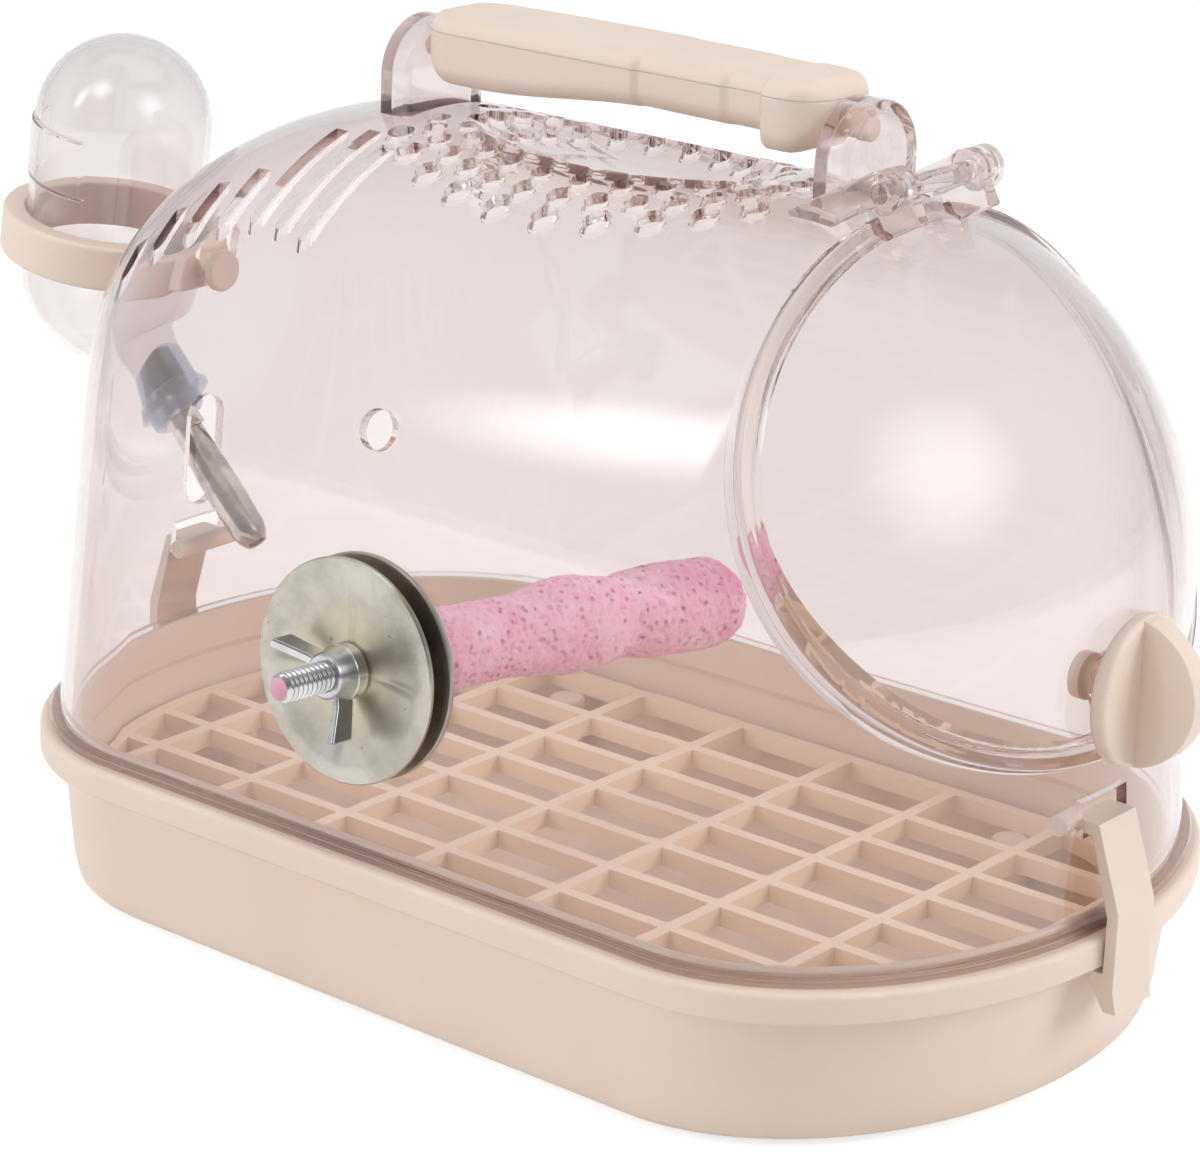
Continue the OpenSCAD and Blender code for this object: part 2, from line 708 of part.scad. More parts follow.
// Side view of the handle: round lower corners, and an underside that rises to the waist.
module handle_side() {
    x = handle_l / 2 - handle_corner;
    top = handle_z + handle_h;
    waist_drop = 0.6;
    end_drop = 0.8;
    polygon(concat(arc(-x, handle_z + handle_corner, handle_corner, 180, 270),
        [[waist_from, handle_z + handle_arch], [waist_to, handle_z + handle_arch - waist_drop], [waist_to, handle_z]],
        arc(x, handle_z + handle_corner, handle_corner, -90, 0),
        arc(handle_l / 2 - handle_round, top - handle_round, handle_round, 0, 90),
        arc(handle_round - handle_l / 2, top - handle_round - end_drop, handle_round, 90, 180)));
}

// The part of the handle's rounded block between two heights.
module handle_shell(from, to) {
    y = handle_w / 2 - handle_round;
    z = [handle_z + handle_round, handle_z + handle_h - handle_round];
    intersection() {
        translate([0, 0, from]) linear_extrude(to - from) handle_plan();
        rotate([90, 0, 0]) translate([0, 0, -handle_w]) linear_extrude(2 * handle_w) handle_side();
        rotate([90, 0, 90]) translate([0, 0, -handle_l]) linear_extrude(2 * handle_l) polygon(concat(
            arc(y, z[0], handle_round, -90, 0), arc(y, z[1], handle_round, 0, 90),
            arc(-y, z[1], handle_round, 90, 180), arc(-y, z[0], handle_round, 180, 270)));
    }
}

module handle_top() {
    color(CREAM) translate([handle_x, 0, 0]) handle_shell(handle_z + parting_h, handle_z + handle_h + 1);
}

module handle_bottom() {
    color(CREAM) translate([handle_x, 0, 0]) {
        handle_shell(handle_z - 1, handle_z + parting_h);
        for (side = [-1, 1]) translate([side > 0 ? handle_l / 2 - 8 : -handle_l / 2 - peg_l, 0, pivot_z])
            rotate([0, 90, 0]) cylinder(d = peg_d, h = peg_l + 8);
    }
}

// Outer shape of the bottle, drawn in by the given inset.
module bottle_body(inset) {
    r = bottle_r - inset;
    shoulder = ring_down + 5;
    at_bottle() translate([0, 0, -shoulder]) cylinder(r = r, h = shoulder, $fn = 64);
    at_bottle() sphere(r = r, $fn = 64);
    hull() {
        at_bottle() translate([0, 0, -shoulder]) cylinder(r = r, h = 2);
        at_bottle() translate([2, 0, -shoulder - 12]) cylinder(r = r - 3, h = 2);
        at_spout() translate([0, 0, 2 - neck_l - 2 * inset]) cylinder(r = neck_r + 1 - inset, h = 2);
    }
    at_spout() translate([0, 0, -neck_l]) cylinder(r = neck_r - inset, h = inset > 0 ? neck_l + 4 : neck_l);
}

module bottle() {
    color(CLEAR) difference() {
        bottle_body(0);
        bottle_body(bottle_wall);
    }
}

// Ring round the bottle, with an arm whose headed peg hangs in the end wall's keyhole.
module bottle_bracket() {
    r_bore = bottle_r + fit;
    arm_w = 16;
    arm_under = 4.5;
    arm_h = 9;
    arm_end = -keyhole_x - 1.5;
    color(CREAM) difference() {
        union() {
            at_bottle() translate([0, 0, -ring_down]) cylinder(r = r_bore + ring_t, h = ring_h, $fn = 96);
            translate([-bottle_x + bottle_r - 4, -arm_w / 2, keyhole_z - arm_under])
                cube([bottle_x - bottle_r + 4 + arm_end, arm_w, arm_h]);
            translate([arm_end - 1, 0, keyhole_z]) rotate([0, 90, 0])
                cylinder(d = peg_neck_d, h = wall + peg_play + 3.5);
            translate([-keyhole_x + wall + peg_play, 0, keyhole_z]) rotate([0, 90, 0])
                cylinder(d = peg_head_d, h = peg_head_t);
        }
        at_bottle() translate([0, 0, -ring_down - 6]) cylinder(r = r_bore, h = ring_h + 12, $fn = 96);
    }
}

module bottle_stopper() {
    bore = spout_d + 2 * spout_wall;
    collar_top = stopper_flange_t + stopper_collar_l;
    color([0.8, 0.86, 0.95, 0.6]) at_spout() difference() {
        union() {
            translate([0, 0, -plug_l]) cylinder(r = neck_r - bottle_wall - plug_gap, h = plug_l + eps);
            cylinder(d = stopper_flange_d, h = stopper_flange_t);
            cylinder(d = bore + 5, h = collar_top);
        }
        translate([0, 0, -plug_l - 1]) cylinder(d = bore, h = plug_l + collar_top + 2);
    }
}

module spout_sleeve() {
    length = plug_l + stopper_flange_t + stopper_collar_l + sleeve_out;
    color(STEEL) at_spout() translate([0, 0, -plug_l]) difference() {
        cylinder(d = spout_d + 2 * spout_wall, h = length);
        translate([0, 0, -1]) cylinder(d = spout_d, h = length + 2);
    }
}

// The tube's tip has a lip that keeps the ball in.
module spout_tube() {
    tube_in = 6;
    seat_r = ball_d / 2 - tip_lip;
    color(STEEL) at_spout() difference() {
        translate([0, 0, -tube_in]) cylinder(d = spout_d, h = spout_l + tube_in);
        translate([0, 0, -tube_in - 1]) cylinder(r = ball_d / 2 + fit, h = spout_l + tube_in + 1 - tip_t);
        translate([0, 0, spout_l - tip_t - 1]) cylinder(r = seat_r, h = tip_t + 2);
    }
}

module spout_ball() {
    seat_r = ball_d / 2 - tip_lip;
    sink = sqrt(pow(ball_d / 2, 2) - pow(seat_r, 2));
    color(STEEL) at_spout() translate([0, 0, spout_l - tip_t - sink - 0.05]) sphere(d = ball_d);
}

// A lumpy stick whose axis bends gently towards the door.
module perch_stick() {
    function end_cap(i) = i == 0 ? 0.95 : i == perch_rings ? 0.55 : i == perch_rings - 1 ? 0.88 : 1;
    function lumps(t) = 0.97 - 0.12 * exp(-pow((t - 0.34) / 0.12, 2)) + 0.08 * exp(-pow((t - 0.54) / 0.08, 2))
        - 0.08 * exp(-pow((t - 0.68) / 0.05, 2)) + 0.05 * exp(-pow((t - 0.85) / 0.08, 2));
    rings = [for (i = [perch_rings:-1:0]) let (t = i / perch_rings, r = perch_d / 2 * end_cap(i) * lumps(t))
        [for (p = ellipse(r, r * 0.97, 28)) [p[0] + perch_bend * pow(t, 1.3), p[1], stick_base - perch_l * t]]];
    color([0.97, 0.66, 0.76]) at_perch() difference() {
        loft(rings);
        translate([0, 0, stick_base - stud_in - 0.5]) cylinder(d = stud_d + 2 * thread_clear, h = stud_in + 5);
    }
}

module perch_stud() {
    color(STEEL) at_perch() translate([0, 0, stick_base - stud_in])
        cylinder(d = stud_d, h = stud_in + wall + 2 * washer_t + stud_out);
}

// A pressed washer that touches the wall at its middle and stands off it at its rim.
module cupped_washer() {
    hole_r = stud_d / 2 + 0.2;
    r = washer_d / 2;
    slope_r = r - washer_rim_w;
    top = washer_cup + washer_t;
    rotate_extrude($fn = 96) polygon([[hole_r, 0], [washer_hub_r, 0], [slope_r, washer_cup], [r, washer_cup],
        [r, top], [slope_r, top], [washer_hub_r, washer_t], [hole_r, washer_t]]);
}

module outer_washer() {
    color(STEEL) at_perch() cupped_washer();
}

module inner_washer() {
    color(STEEL) at_perch() translate([0, 0, -wall]) mirror([0, 0, 1]) cupped_washer();
}

module wing_nut() {
    hub_d = 11;
    hub_h = 3;
    wing_t = 2;
    wing_d = 8;
    wing_r = 10.5;
    color(STEEL) at_perch() translate([0, 0, washer_t + 0.1]) difference() {
        union() {
            cylinder(d = hub_d, h = hub_h);
            translate([0, 0, hub_h - eps]) cylinder(d1 = hub_d, d2 = hub_d - 2.4, h = nut_h - hub_h);
            for (turn = [161, 290]) rotate([0, 0, turn]) {
                translate([stud_d / 2 + 0.6, -0.4 * wing_t, 1.5]) cube([wing_r - 4.5, 0.8 * wing_t, nut_h - 2]);
                translate([wing_r, wing_t / 2, nut_h + 0.5]) rotate([90, 0, 0]) cylinder(d = wing_d, h = wing_t);
            }
        }
        translate([0, 0, -1]) cylinder(d = stud_d + 2 * thread_clear, h = nut_h + 2);
    }
}

tray();
floor_grid();
cabin();
door_lid();
hinge_rod();
latch_knob();
latch_tongue();
door_end_clip();
bottle_end_clip();
handle_top();
handle_bottom();
bottle();
bottle_bracket();
bottle_stopper();
spout_sleeve();
spout_tube();
spout_ball();
perch_stick();
perch_stud();
outer_washer();
inner_washer();
wing_nut();
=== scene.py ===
"""Looks of the bird carrier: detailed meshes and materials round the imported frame.

Lengths are millimetres in the frame's axes and become metres when a mesh is made. The named
sizes are those of the frame's source, so every piece lies where its solid lies.
"""

import math

import bmesh
import bpy
from mathutils import Matrix, Vector, noise


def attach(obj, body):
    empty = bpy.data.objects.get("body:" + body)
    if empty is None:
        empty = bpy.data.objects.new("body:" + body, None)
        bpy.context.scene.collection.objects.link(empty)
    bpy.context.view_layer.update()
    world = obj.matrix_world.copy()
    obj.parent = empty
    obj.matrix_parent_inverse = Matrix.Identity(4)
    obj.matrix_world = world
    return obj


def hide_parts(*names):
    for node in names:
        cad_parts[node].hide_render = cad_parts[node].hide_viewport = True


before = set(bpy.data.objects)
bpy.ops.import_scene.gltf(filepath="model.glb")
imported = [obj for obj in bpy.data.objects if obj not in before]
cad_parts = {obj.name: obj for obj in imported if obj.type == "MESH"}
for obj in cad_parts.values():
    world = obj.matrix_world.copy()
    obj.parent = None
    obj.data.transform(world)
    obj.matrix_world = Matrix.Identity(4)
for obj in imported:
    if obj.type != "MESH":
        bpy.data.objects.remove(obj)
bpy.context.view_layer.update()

MM = 0.001

# Tray and grid
RIM_A, RIM_B = 124, 77
TRAY_H, TRAY_WALL, TRAY_FLOOR = 34, 2.2, 2
BAND_H, BAND_OUT = 6.5, 4
TRAY_TAPER, TRAY_END_TAPER = 2.5, 7
GRID_TOP, GRID_BAR_H, GRID_BAR_W = 19.5, 4, 2.8
CROSS_PITCH, CROSS_MID, CROSS_COUNT = 27.4, 29.6, 8
LONG_PITCH, LONG_COUNT = 15.8, 7
GRID_FRAME_W = 3.2
PAD_D, PAD_X, PAD_IN = 8, 60, 16

# Cabin
WALL, CABIN_TOP = 2.2, 162
SIDE_DRAFT, END_DRAFT = math.radians(4), math.radians(5)
SHOULDER_Z, RIDGE_HALF = 112, 48
END_RATIO = 0.71
FOOT_INSET = 3.5
FOOT_FLANGE_W, FOOT_FLANGE_H = 1.5, 2.4
FOOT_A, FOOT_B = RIM_A - FOOT_INSET, RIM_B - FOOT_INSET
FIT = 0.3
LIP_T, LIP_H = 1.6, 2.4
LIP_INSET = FOOT_INSET + WALL + FIT
GRID_INSET = BAND_OUT + TRAY_WALL + 3.2
ARCH_R = ((FOOT_B - (CABIN_TOP - TRAY_H) * math.tan(SIDE_DRAFT))
          / (1 / math.cos(SIDE_DRAFT) - math.tan(SIDE_DRAFT)))
ARCH_Z = CABIN_TOP - ARCH_R
SHOULDER_A = FOOT_A - (SHOULDER_Z - TRAY_H) * math.tan(END_DRAFT)
SHOULDER_H = CABIN_TOP - SHOULDER_Z

# Door, in its own frame: x down the slope, y across, z out of the carrier
DOOR_X, DOOR_Z = 91.5, 113.5
DOOR_TILT = math.radians(29.3)
DOOR_V, DOOR_W, DOOR_BEND = 54, 66, 220
DOOR_RIM, RIM_T, LID_BULGE, DOOR_GAP = 5, 2, 21.5, 0.3
MOUTH_V, MOUTH_W = DOOR_V - DOOR_RIM, DOOR_W - DOOR_RIM
LID_EDGE_W = 2.4
LID_V, LID_W = DOOR_V - LID_EDGE_W, DOOR_W - LID_EDGE_W
LID_BASE = DOOR_GAP + RIM_T
LID_R = (LID_V ** 2 + LID_BULGE ** 2) / (2 * LID_BULGE)
LID_EDGE = math.asin(LID_V / LID_R)
HINGE_ROD_D, HINGE_CLEAR, HINGE_N, HINGE_V = 4, 0.1, 9, DOOR_V + 2.5
KNUCKLE_IN, KNUCKLE_W, KNUCKLE_R, LUG_W = 9.5, 3.8, 4.2, 3.8
LUG_IN = KNUCKLE_IN + KNUCKLE_W + 0.3
ROD_HALF = LUG_IN + LUG_W

# Latch
KNOB_D, KNOB_T, KNOB_RIB_H, KNOB_RIB_T = 29, 3.5, 11.5, 5
KNOB_V, KNOB_N = DOOR_V - 11, 10.4
SPINDLE_D, SPINDLE_CLEAR = 6, 0.09
KNOB_X = DOOR_X + math.sin(DOOR_TILT) * KNOB_V + math.cos(DOOR_TILT) * KNOB_N
KNOB_Z = DOOR_Z - math.cos(DOOR_TILT) * KNOB_V + math.sin(DOOR_TILT) * KNOB_N
RIM_BACK_X = DOOR_X + math.sin(DOOR_TILT) * MOUTH_V - math.cos(DOOR_TILT) * RIM_T
RIM_BACK_Z = DOOR_Z - math.cos(DOOR_TILT) * MOUTH_V - math.sin(DOOR_TILT) * RIM_T
TONGUE_T, TONGUE_GAP, TONGUE_W = 2.2, 1.2, 5
TONGUE_L = KNOB_Z - RIM_BACK_Z + 3.5
SPINDLE_L = KNOB_X - RIM_BACK_X + TONGUE_GAP

# Clips
CLIP_W, CLIP_T, CLIP_SLOT_W, CLIP_SLOT_H, CLIP_SLOT_Z = 12.5, 2.4, 15, 7, 56
CLIP_BAR_D, CLIP_TAB = 4, 4.5
CLIP_BAR_Z = CLIP_SLOT_Z - 1.6
CLIP_WALL_X = FOOT_A - (CLIP_BAR_Z - TRAY_H) * math.tan(END_DRAFT)
CLIP_BAR_X = CLIP_WALL_X - WALL - CLIP_BAR_D / 2 - 1
CLIP_OUT_X = RIM_A + FIT

# Handle and ears
HANDLE_L, HANDLE_W, HANDLE_Z, HANDLE_H, HANDLE_X = 99, 23, 168.8, 14.4, 2.5
WAIST_W, WAIST_FROM, WAIST_STEP, WAIST_TO = 20, 6.5, 27.5, HANDLE_L / 2 - 12
HANDLE_ARCH, PARTING_H, PEG_D = 3.2, 10.5, 5
PIVOT_Z = HANDLE_Z + 5.5
EAR_IN, EAR_T, EAR_B, EAR_TOP, EAR_WALL = HANDLE_L / 2 + FIT, 8, 11.5, 180, 2
PEG_L = EAR_WALL + 3

# Vents
VENT_A, VENT_B, VENT_STEP_A, VENT_STEP_B = 52, 32, 7.8, 5.8
VENT_D = (6, 5.4, 5, 4.6)
VENT_COUNT = (28, 32, 24, 20)
SLOT_W, SLOT_PITCH, SLOT_X = 3.2, 7, -42
SLOT_SPANS = ((23, 46), (19, 45), (21, 45), (36, 47), (40, 49), (45, 51), (49, 53))
DISH = ((5, 16, 6), (4, 26, 11), (2, 35, 16), (-2, 42, 21))

# Bottle and spout
BOTTLE_R, BOTTLE_WALL, BOTTLE_X, BULB_Z, BOTTLE_TILT = 19.2, 1.4, 140, 143.5, 8
RING_DOWN, RING_H, RING_T = 30.5, 10, 4.8
KEYHOLE_Z, KEYHOLE_D, BOTTLE_LIFT = 116, 12, 5
KEYHOLE_X = FOOT_A - (KEYHOLE_Z - TRAY_H) * math.tan(END_DRAFT)
PEG_NECK_D, PEG_HEAD_D, PEG_HEAD_T, PEG_PLAY = 6, 9, 2.4, 0.5
STOPPER_X, STOPPER_Z, SPOUT_SLOPE = 127.5, 85, 44
NECK_R, NECK_L, PLUG_L = 8, 10, 9
STOPPER_FLANGE_D, STOPPER_FLANGE_T, STOPPER_COLLAR_L = 19, 3, 3.5
SLEEVE_OUT, SPOUT_D, SPOUT_WALL, SPOUT_L = 4.5, 8, 0.5, 40
BALL_D, TIP_T, TIP_LIP = 4.4, 2, 0.35
SLOT_HALF = SPOUT_D / 2 + 1
SLOT_LOW = STOPPER_Z - (STOPPER_X - KEYHOLE_X) * math.tan(math.radians(SPOUT_SLOPE)) - 4
SLOT_HIGH = SLOT_LOW + BOTTLE_LIFT + 10.2
PANEL_DOWN, PANEL_RISE, PANEL_FROM, PANEL_TO = 13.2, 0.55, 67, 160

# Perch
PERCH_L, PERCH_D, PERCH_BEND, PERCH_X, PERCH_Z = 96, 19.5, 13, -5.5, 70.5
PERCH_Y = FOOT_B - (PERCH_Z - TRAY_H) * math.tan(SIDE_DRAFT)
STUD_D, STUD_OUT, STUD_IN = 6, 19, 21.5
WASHER_D, WASHER_T, WASHER_CUP, WASHER_HUB_R, WASHER_RIM_W = 44, 1.2, 1.5, 10.5, 3
NUT_H = 7
STICK_BASE = -WALL - WASHER_T
SIDE_HOLE_D, SIDE_HOLE_X, SIDE_HOLE_Z = 8, -6, 116.5


# Frames of the slanted parts

def shift(x, y, z):
    return Matrix.Translation((x, y, z))


def turn(degrees, axis):
    return Matrix.Rotation(math.radians(degrees), 4, axis)


AT_DOOR = shift(DOOR_X, 0, DOOR_Z) @ turn(90 - math.degrees(DOOR_TILT), "Y")
AT_KNOB = AT_DOOR @ shift(KNOB_V, 0, KNOB_N) @ turn(math.degrees(DOOR_TILT), "Y")
AT_HINGE = AT_DOOR @ shift(-HINGE_V, 0, HINGE_N) @ turn(-90, "X")
AT_PERCH = shift(PERCH_X, -PERCH_Y, PERCH_Z) @ turn(90 - math.degrees(SIDE_DRAFT), "X")
AT_BOTTLE = shift(-BOTTLE_X, 0, BULB_Z) @ turn(BOTTLE_TILT, "Y")
AT_SPOUT = shift(-STOPPER_X, 0, STOPPER_Z) @ turn(90 + SPOUT_SLOPE, "Y")
IDENTITY = Matrix.Identity(4)


# Mesh making

def solid(name, points, faces, place=IDENTITY):
    """A closed mesh from points in millimetres, with its normals outwards."""
    mesh = bpy.data.meshes.new(name)
    mesh.from_pydata([(place @ Vector(p)) * MM for p in points], [], faces)
    bm = bmesh.new()
    bm.from_mesh(mesh)
    bmesh.ops.recalc_face_normals(bm, faces=bm.faces)
    bm.to_mesh(mesh)
    bm.free()
    ob = bpy.data.objects.new(name, mesh)
    bpy.context.scene.collection.objects.link(ob)
    return ob


def loft(name, rings, place=IDENTITY, looped=False):
    """A skin through rings of equal length, capped at both ends, or joined end to start."""
    n, m = len(rings[0]), len(rings)
    points = [p for ring in rings for p in ring]
    faces = []
    for k in range(m if looped else m - 1):
        low, high = k * n, (k + 1) % m * n
        faces += [(low + i, low + (i + 1) % n, high + (i + 1) % n, high + i) for i in range(n)]
    if not looped:
        faces += [tuple(range(n - 1, -1, -1)), tuple(range((m - 1) * n, m * n))]
    return solid(name, points, faces, place)


def circle(r, z, steps=64, x=0, y=0):
    return [(x + r * math.cos(math.tau * i / steps), y + r * math.sin(math.tau * i / steps), z)
            for i in range(steps)]


def lathe(name, profile, place=IDENTITY, steps=64, looped=False):
    """A body of revolution about z through (radius, height) pairs."""
    return loft(name, [circle(max(r, 0.02), z, steps) for r, z in profile], place, looped)


def prism(name, outline, low, high, place=IDENTITY):
    return loft(name, [[(x, y, z) for x, y in outline] for z in (low, high)], place)


def box(name, x, y, z, place=IDENTITY):
    """A block between pairs of limits."""
    return prism(name, [(x[0], y[0]), (x[1], y[0]), (x[1], y[1]), (x[0], y[1])], z[0], z[1], place)


def arc(x, y, r, start, end, n=8):
    """Points on an arc round (x, y), between angles in degrees."""
    angles = [math.radians(start + (end - start) * i / n) for i in range(n + 1)]
    return [(x + r * math.cos(t), y + r * math.sin(t)) for t in angles]


def bake(ob):
    """Turns the object's modifiers into its mesh."""
    graph = bpy.context.evaluated_depsgraph_get()
    mesh = bpy.data.meshes.new_from_object(ob.evaluated_get(graph))
    ob.modifiers.clear()
    old, ob.data = ob.data, mesh
    bpy.data.meshes.remove(old)
    return ob


def combine(ob, tools, operation):
    for tool in tools:
        mod = ob.modifiers.new("combine", "BOOLEAN")
        mod.operation, mod.object, mod.solver = operation, tool, "MANIFOLD"
    bake(ob)
    for tool in tools:
        bpy.data.objects.remove(tool)
    return ob


def fuse(ob, *tools):
    return combine(ob, tools, "UNION")


def carve(ob, *tools):
    return combine(ob, tools, "DIFFERENCE")


def keep(ob, *tools):
    return combine(ob, tools, "INTERSECT")


def copy_of(ob, name):
    twin = bpy.data.objects.new(name, ob.data.copy())
    bpy.context.scene.collection.objects.link(twin)
    return twin


def soften(ob, width, segments=3, angle=32):
    """Rounds the object's sharp edges."""
    mod = ob.modifiers.new("soften", "BEVEL")
    mod.width, mod.segments, mod.limit_method = width * MM, segments, "ANGLE"
    mod.angle_limit = math.radians(angle)
    mod.use_clamp_overlap = True
    return bake(ob)


def dress(ob, body, material, nodes=(), angle=35, weighted=True):
    """Smooth shading, material, body and the CAD nodes that the piece stands for."""
    ob.data.materials.clear()
    ob.data.materials.append(material)
    ob.data.shade_smooth()
    ob.data.set_sharp_from_angle(angle=math.radians(angle))
    if weighted:
        mod = ob.modifiers.new("normals", "WEIGHTED_NORMAL")
        mod.keep_sharp, mod.weight = True, 60
    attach(ob, body)
    if nodes:
        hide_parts(*nodes)
    return ob


# Materials

class Recipe:
    """Nodes of one material, with its Principled shader at hand."""

    def __init__(self, name):
        self.material = bpy.data.materials.new(name)
        self.material.use_nodes = True
        self.nodes = self.material.node_tree.nodes
        self.links = self.material.node_tree.links
        self.shader = self.nodes["Principled BSDF"]
        self.output = self.nodes["Material Output"]
        self.place = self.add("ShaderNodeTexCoord").outputs["Object"]

    def add(self, kind, **values):
        node = self.nodes.new(kind)
        for key, value in values.items():
            setattr(node, key, value)
        return node

    def join(self, source, target):
        self.links.new(source, target)

    def set(self, **values):
        for key, value in values.items():
            self.shader.inputs[key.replace("_", " ")].default_value = value

    def noise(self, scale, detail=3, roughness=0.5):
        node = self.add("ShaderNodeTexNoise")
        node.inputs["Scale"].default_value = scale
        node.inputs["Detail"].default_value = detail
        node.inputs["Roughness"].default_value = roughness
        self.join(self.place, node.inputs["Vector"])
        return node.outputs["Fac"]

    def cells(self, scale, feature="F1"):
        node = self.add("ShaderNodeTexVoronoi", feature=feature)
        node.inputs["Scale"].default_value = scale
        self.join(self.place, node.inputs["Vector"])
        return node.outputs["Distance"]

    def ramp(self, value, stops):
        node = self.add("ShaderNodeValToRGB")
        ramp = node.color_ramp
        while len(ramp.elements) < len(stops):
            ramp.elements.new(0.5)
        for element, (at, colour) in zip(ramp.elements, stops):
            element.position = at
            element.color = (*colour, 1) if isinstance(colour, tuple) else (colour, colour, colour, 1)
        self.join(value, node.inputs["Fac"])
        return node.outputs["Color"]

    def span(self, value, low, high):
        node = self.add("ShaderNodeMapRange")
        node.inputs["To Min"].default_value = low
        node.inputs["To Max"].default_value = high
        self.join(value, node.inputs["Value"])
        return node.outputs["Result"]

    def bump(self, value, strength, distance, normal=None):
        node = self.add("ShaderNodeBump")
        node.inputs["Strength"].default_value = strength
        node.inputs["Distance"].default_value = distance
        self.join(value, node.inputs["Height"])
        if normal is not None:
            self.join(normal, node.inputs["Normal"])
        return node.outputs["Normal"]


def srgb(r, g, b):
    """Linear colour from 0 to 255 display values."""
    return tuple(((c / 255 + 0.055) / 1.055) ** 2.4 if c > 10 else c / 255 / 12.92 for c in (r, g, b))


def moulded(name, light, dark, roughness=0.36):
    """Glossy opaque moulded plastic with faint clouds of colour and gloss."""
    m = Recipe(name)
    m.join(m.ramp(m.noise(28, 4), ((0.3, dark), (0.7, light))), m.shader.inputs["Base Color"])
    m.join(m.span(m.noise(160, 5), roughness - 0.05, roughness + 0.09), m.shader.inputs["Roughness"])
    fine = m.bump(m.noise(1500, 2), 0.05, 0.0002)
    m.join(m.bump(m.noise(45, 2), 0.12, 0.0006, fine), m.shader.inputs["Normal"])
    m.set(IOR=1.5, Subsurface_Weight=0.08, Subsurface_Radius=(0.006, 0.004, 0.003), Subsurface_Scale=1.0)
    return m.material


def clear(name, tint, absorb, density, through, roughness=0.01, ior=1.25, wave=0.04, coat=1.0):
    """Clear moulded plastic that tints with its thickness, under a gloss like that of a solid skin."""
    m = Recipe(name)
    m.set(Base_Color=(*tint, 1), Transmission_Weight=1.0, IOR=ior, Coat_Weight=coat, Coat_Roughness=0.04,
          Coat_IOR=1.5)
    m.join(m.span(m.noise(90, 4), roughness * 0.6, roughness * 2.4), m.shader.inputs["Roughness"])
    m.join(m.bump(m.noise(16, 2), wave, 0.0012), m.shader.inputs["Normal"])
    lamp = m.add("ShaderNodeBsdfTransparent")
    lamp.inputs["Color"].default_value = (*through, 1)
    mix, path = m.add("ShaderNodeMixShader"), m.add("ShaderNodeLightPath")
    trapped = m.add("ShaderNodeMath", operation="GREATER_THAN")
    trapped.inputs[1].default_value = 4.5
    m.join(path.outputs["Ray Depth"], trapped.inputs[0])
    straight = m.add("ShaderNodeMath", operation="MAXIMUM")
    m.join(path.outputs["Is Shadow Ray"], straight.inputs[0])
    m.join(trapped.outputs[0], straight.inputs[1])
    m.join(straight.outputs[0], mix.inputs[0])
    m.join(m.shader.outputs[0], mix.inputs[1])
    m.join(lamp.outputs[0], mix.inputs[2])
    m.join(mix.outputs[0], m.output.inputs["Surface"])
    body = m.add("ShaderNodeVolumeAbsorption")
    body.inputs["Color"].default_value = (*absorb, 1)
    body.inputs["Density"].default_value = density
    m.join(body.outputs[0], m.output.inputs["Volume"])
    return m.material


def metal(name, light, dark, roughness, speck=None, centre=None):
    """Worn plated metal: clouds and, where asked, dark specks and a yellowed middle."""
    m = Recipe(name)
    colour = m.ramp(m.noise(90, 6, 0.62), ((0.34, dark), (0.62, light)))

    def tinted(under, share, tint):
        mix = m.add("ShaderNodeMix", data_type="RGBA")
        m.join(share, mix.inputs[0])
        m.join(under, mix.inputs[6])
        mix.inputs[7].default_value = (*tint, 1)
        return mix.outputs[2]

    if centre is not None:
        far = m.add("ShaderNodeVectorMath", operation="DISTANCE")
        m.join(m.place, far.inputs[0])
        far.inputs[1].default_value = centre
        near = m.add("ShaderNodeMapRange", interpolation_type="SMOOTHSTEP")
        for key, value in (("From Min", 0.007), ("From Max", 0.019), ("To Min", 0.65), ("To Max", 0.0)):
            near.inputs[key].default_value = value
        m.join(far.outputs["Value"], near.inputs["Value"])
        colour = tinted(colour, near.outputs["Result"], srgb(198, 187, 156))
    if speck is not None:
        fleck = m.ramp(m.noise(620, 2, 0.6), ((0.70, 0.0), (0.76, 0.8)))
        colour = tinted(colour, fleck, speck)
    m.join(colour, m.shader.inputs["Base Color"])
    m.join(m.span(m.noise(120, 5, 0.6), roughness - 0.08, roughness + 0.16), m.shader.inputs["Roughness"])
    m.join(m.bump(m.noise(220, 3), 0.1, 0.0003), m.shader.inputs["Normal"])
    m.set(Metallic=1.0)
    return m.material


def sanded(name):
    """Coarse pink mineral crust with darker pits."""
    m = Recipe(name)
    pits = m.ramp(m.cells(420), ((0.0, 0.0), (0.28, 1.0)))
    grains = m.noise(900, 4, 0.6)
    base = m.ramp(m.noise(120, 5, 0.6), ((0.3, srgb(252, 174, 206)), (0.5, srgb(255, 196, 222)),
                                         (0.72, srgb(255, 216, 234))))
    mix = m.add("ShaderNodeMix", data_type="RGBA")
    m.join(pits, mix.inputs[0])
    mix.inputs[6].default_value = (*srgb(206, 112, 148), 1)
    m.join(base, mix.inputs[7])
    m.join(mix.outputs[2], m.shader.inputs["Base Color"])
    m.set(Roughness=0.9)
    rough = m.bump(grains, 0.5, 0.0006)
    m.join(m.bump(pits, 0.7, 0.0008, rough), m.shader.inputs["Normal"])
    return m.material


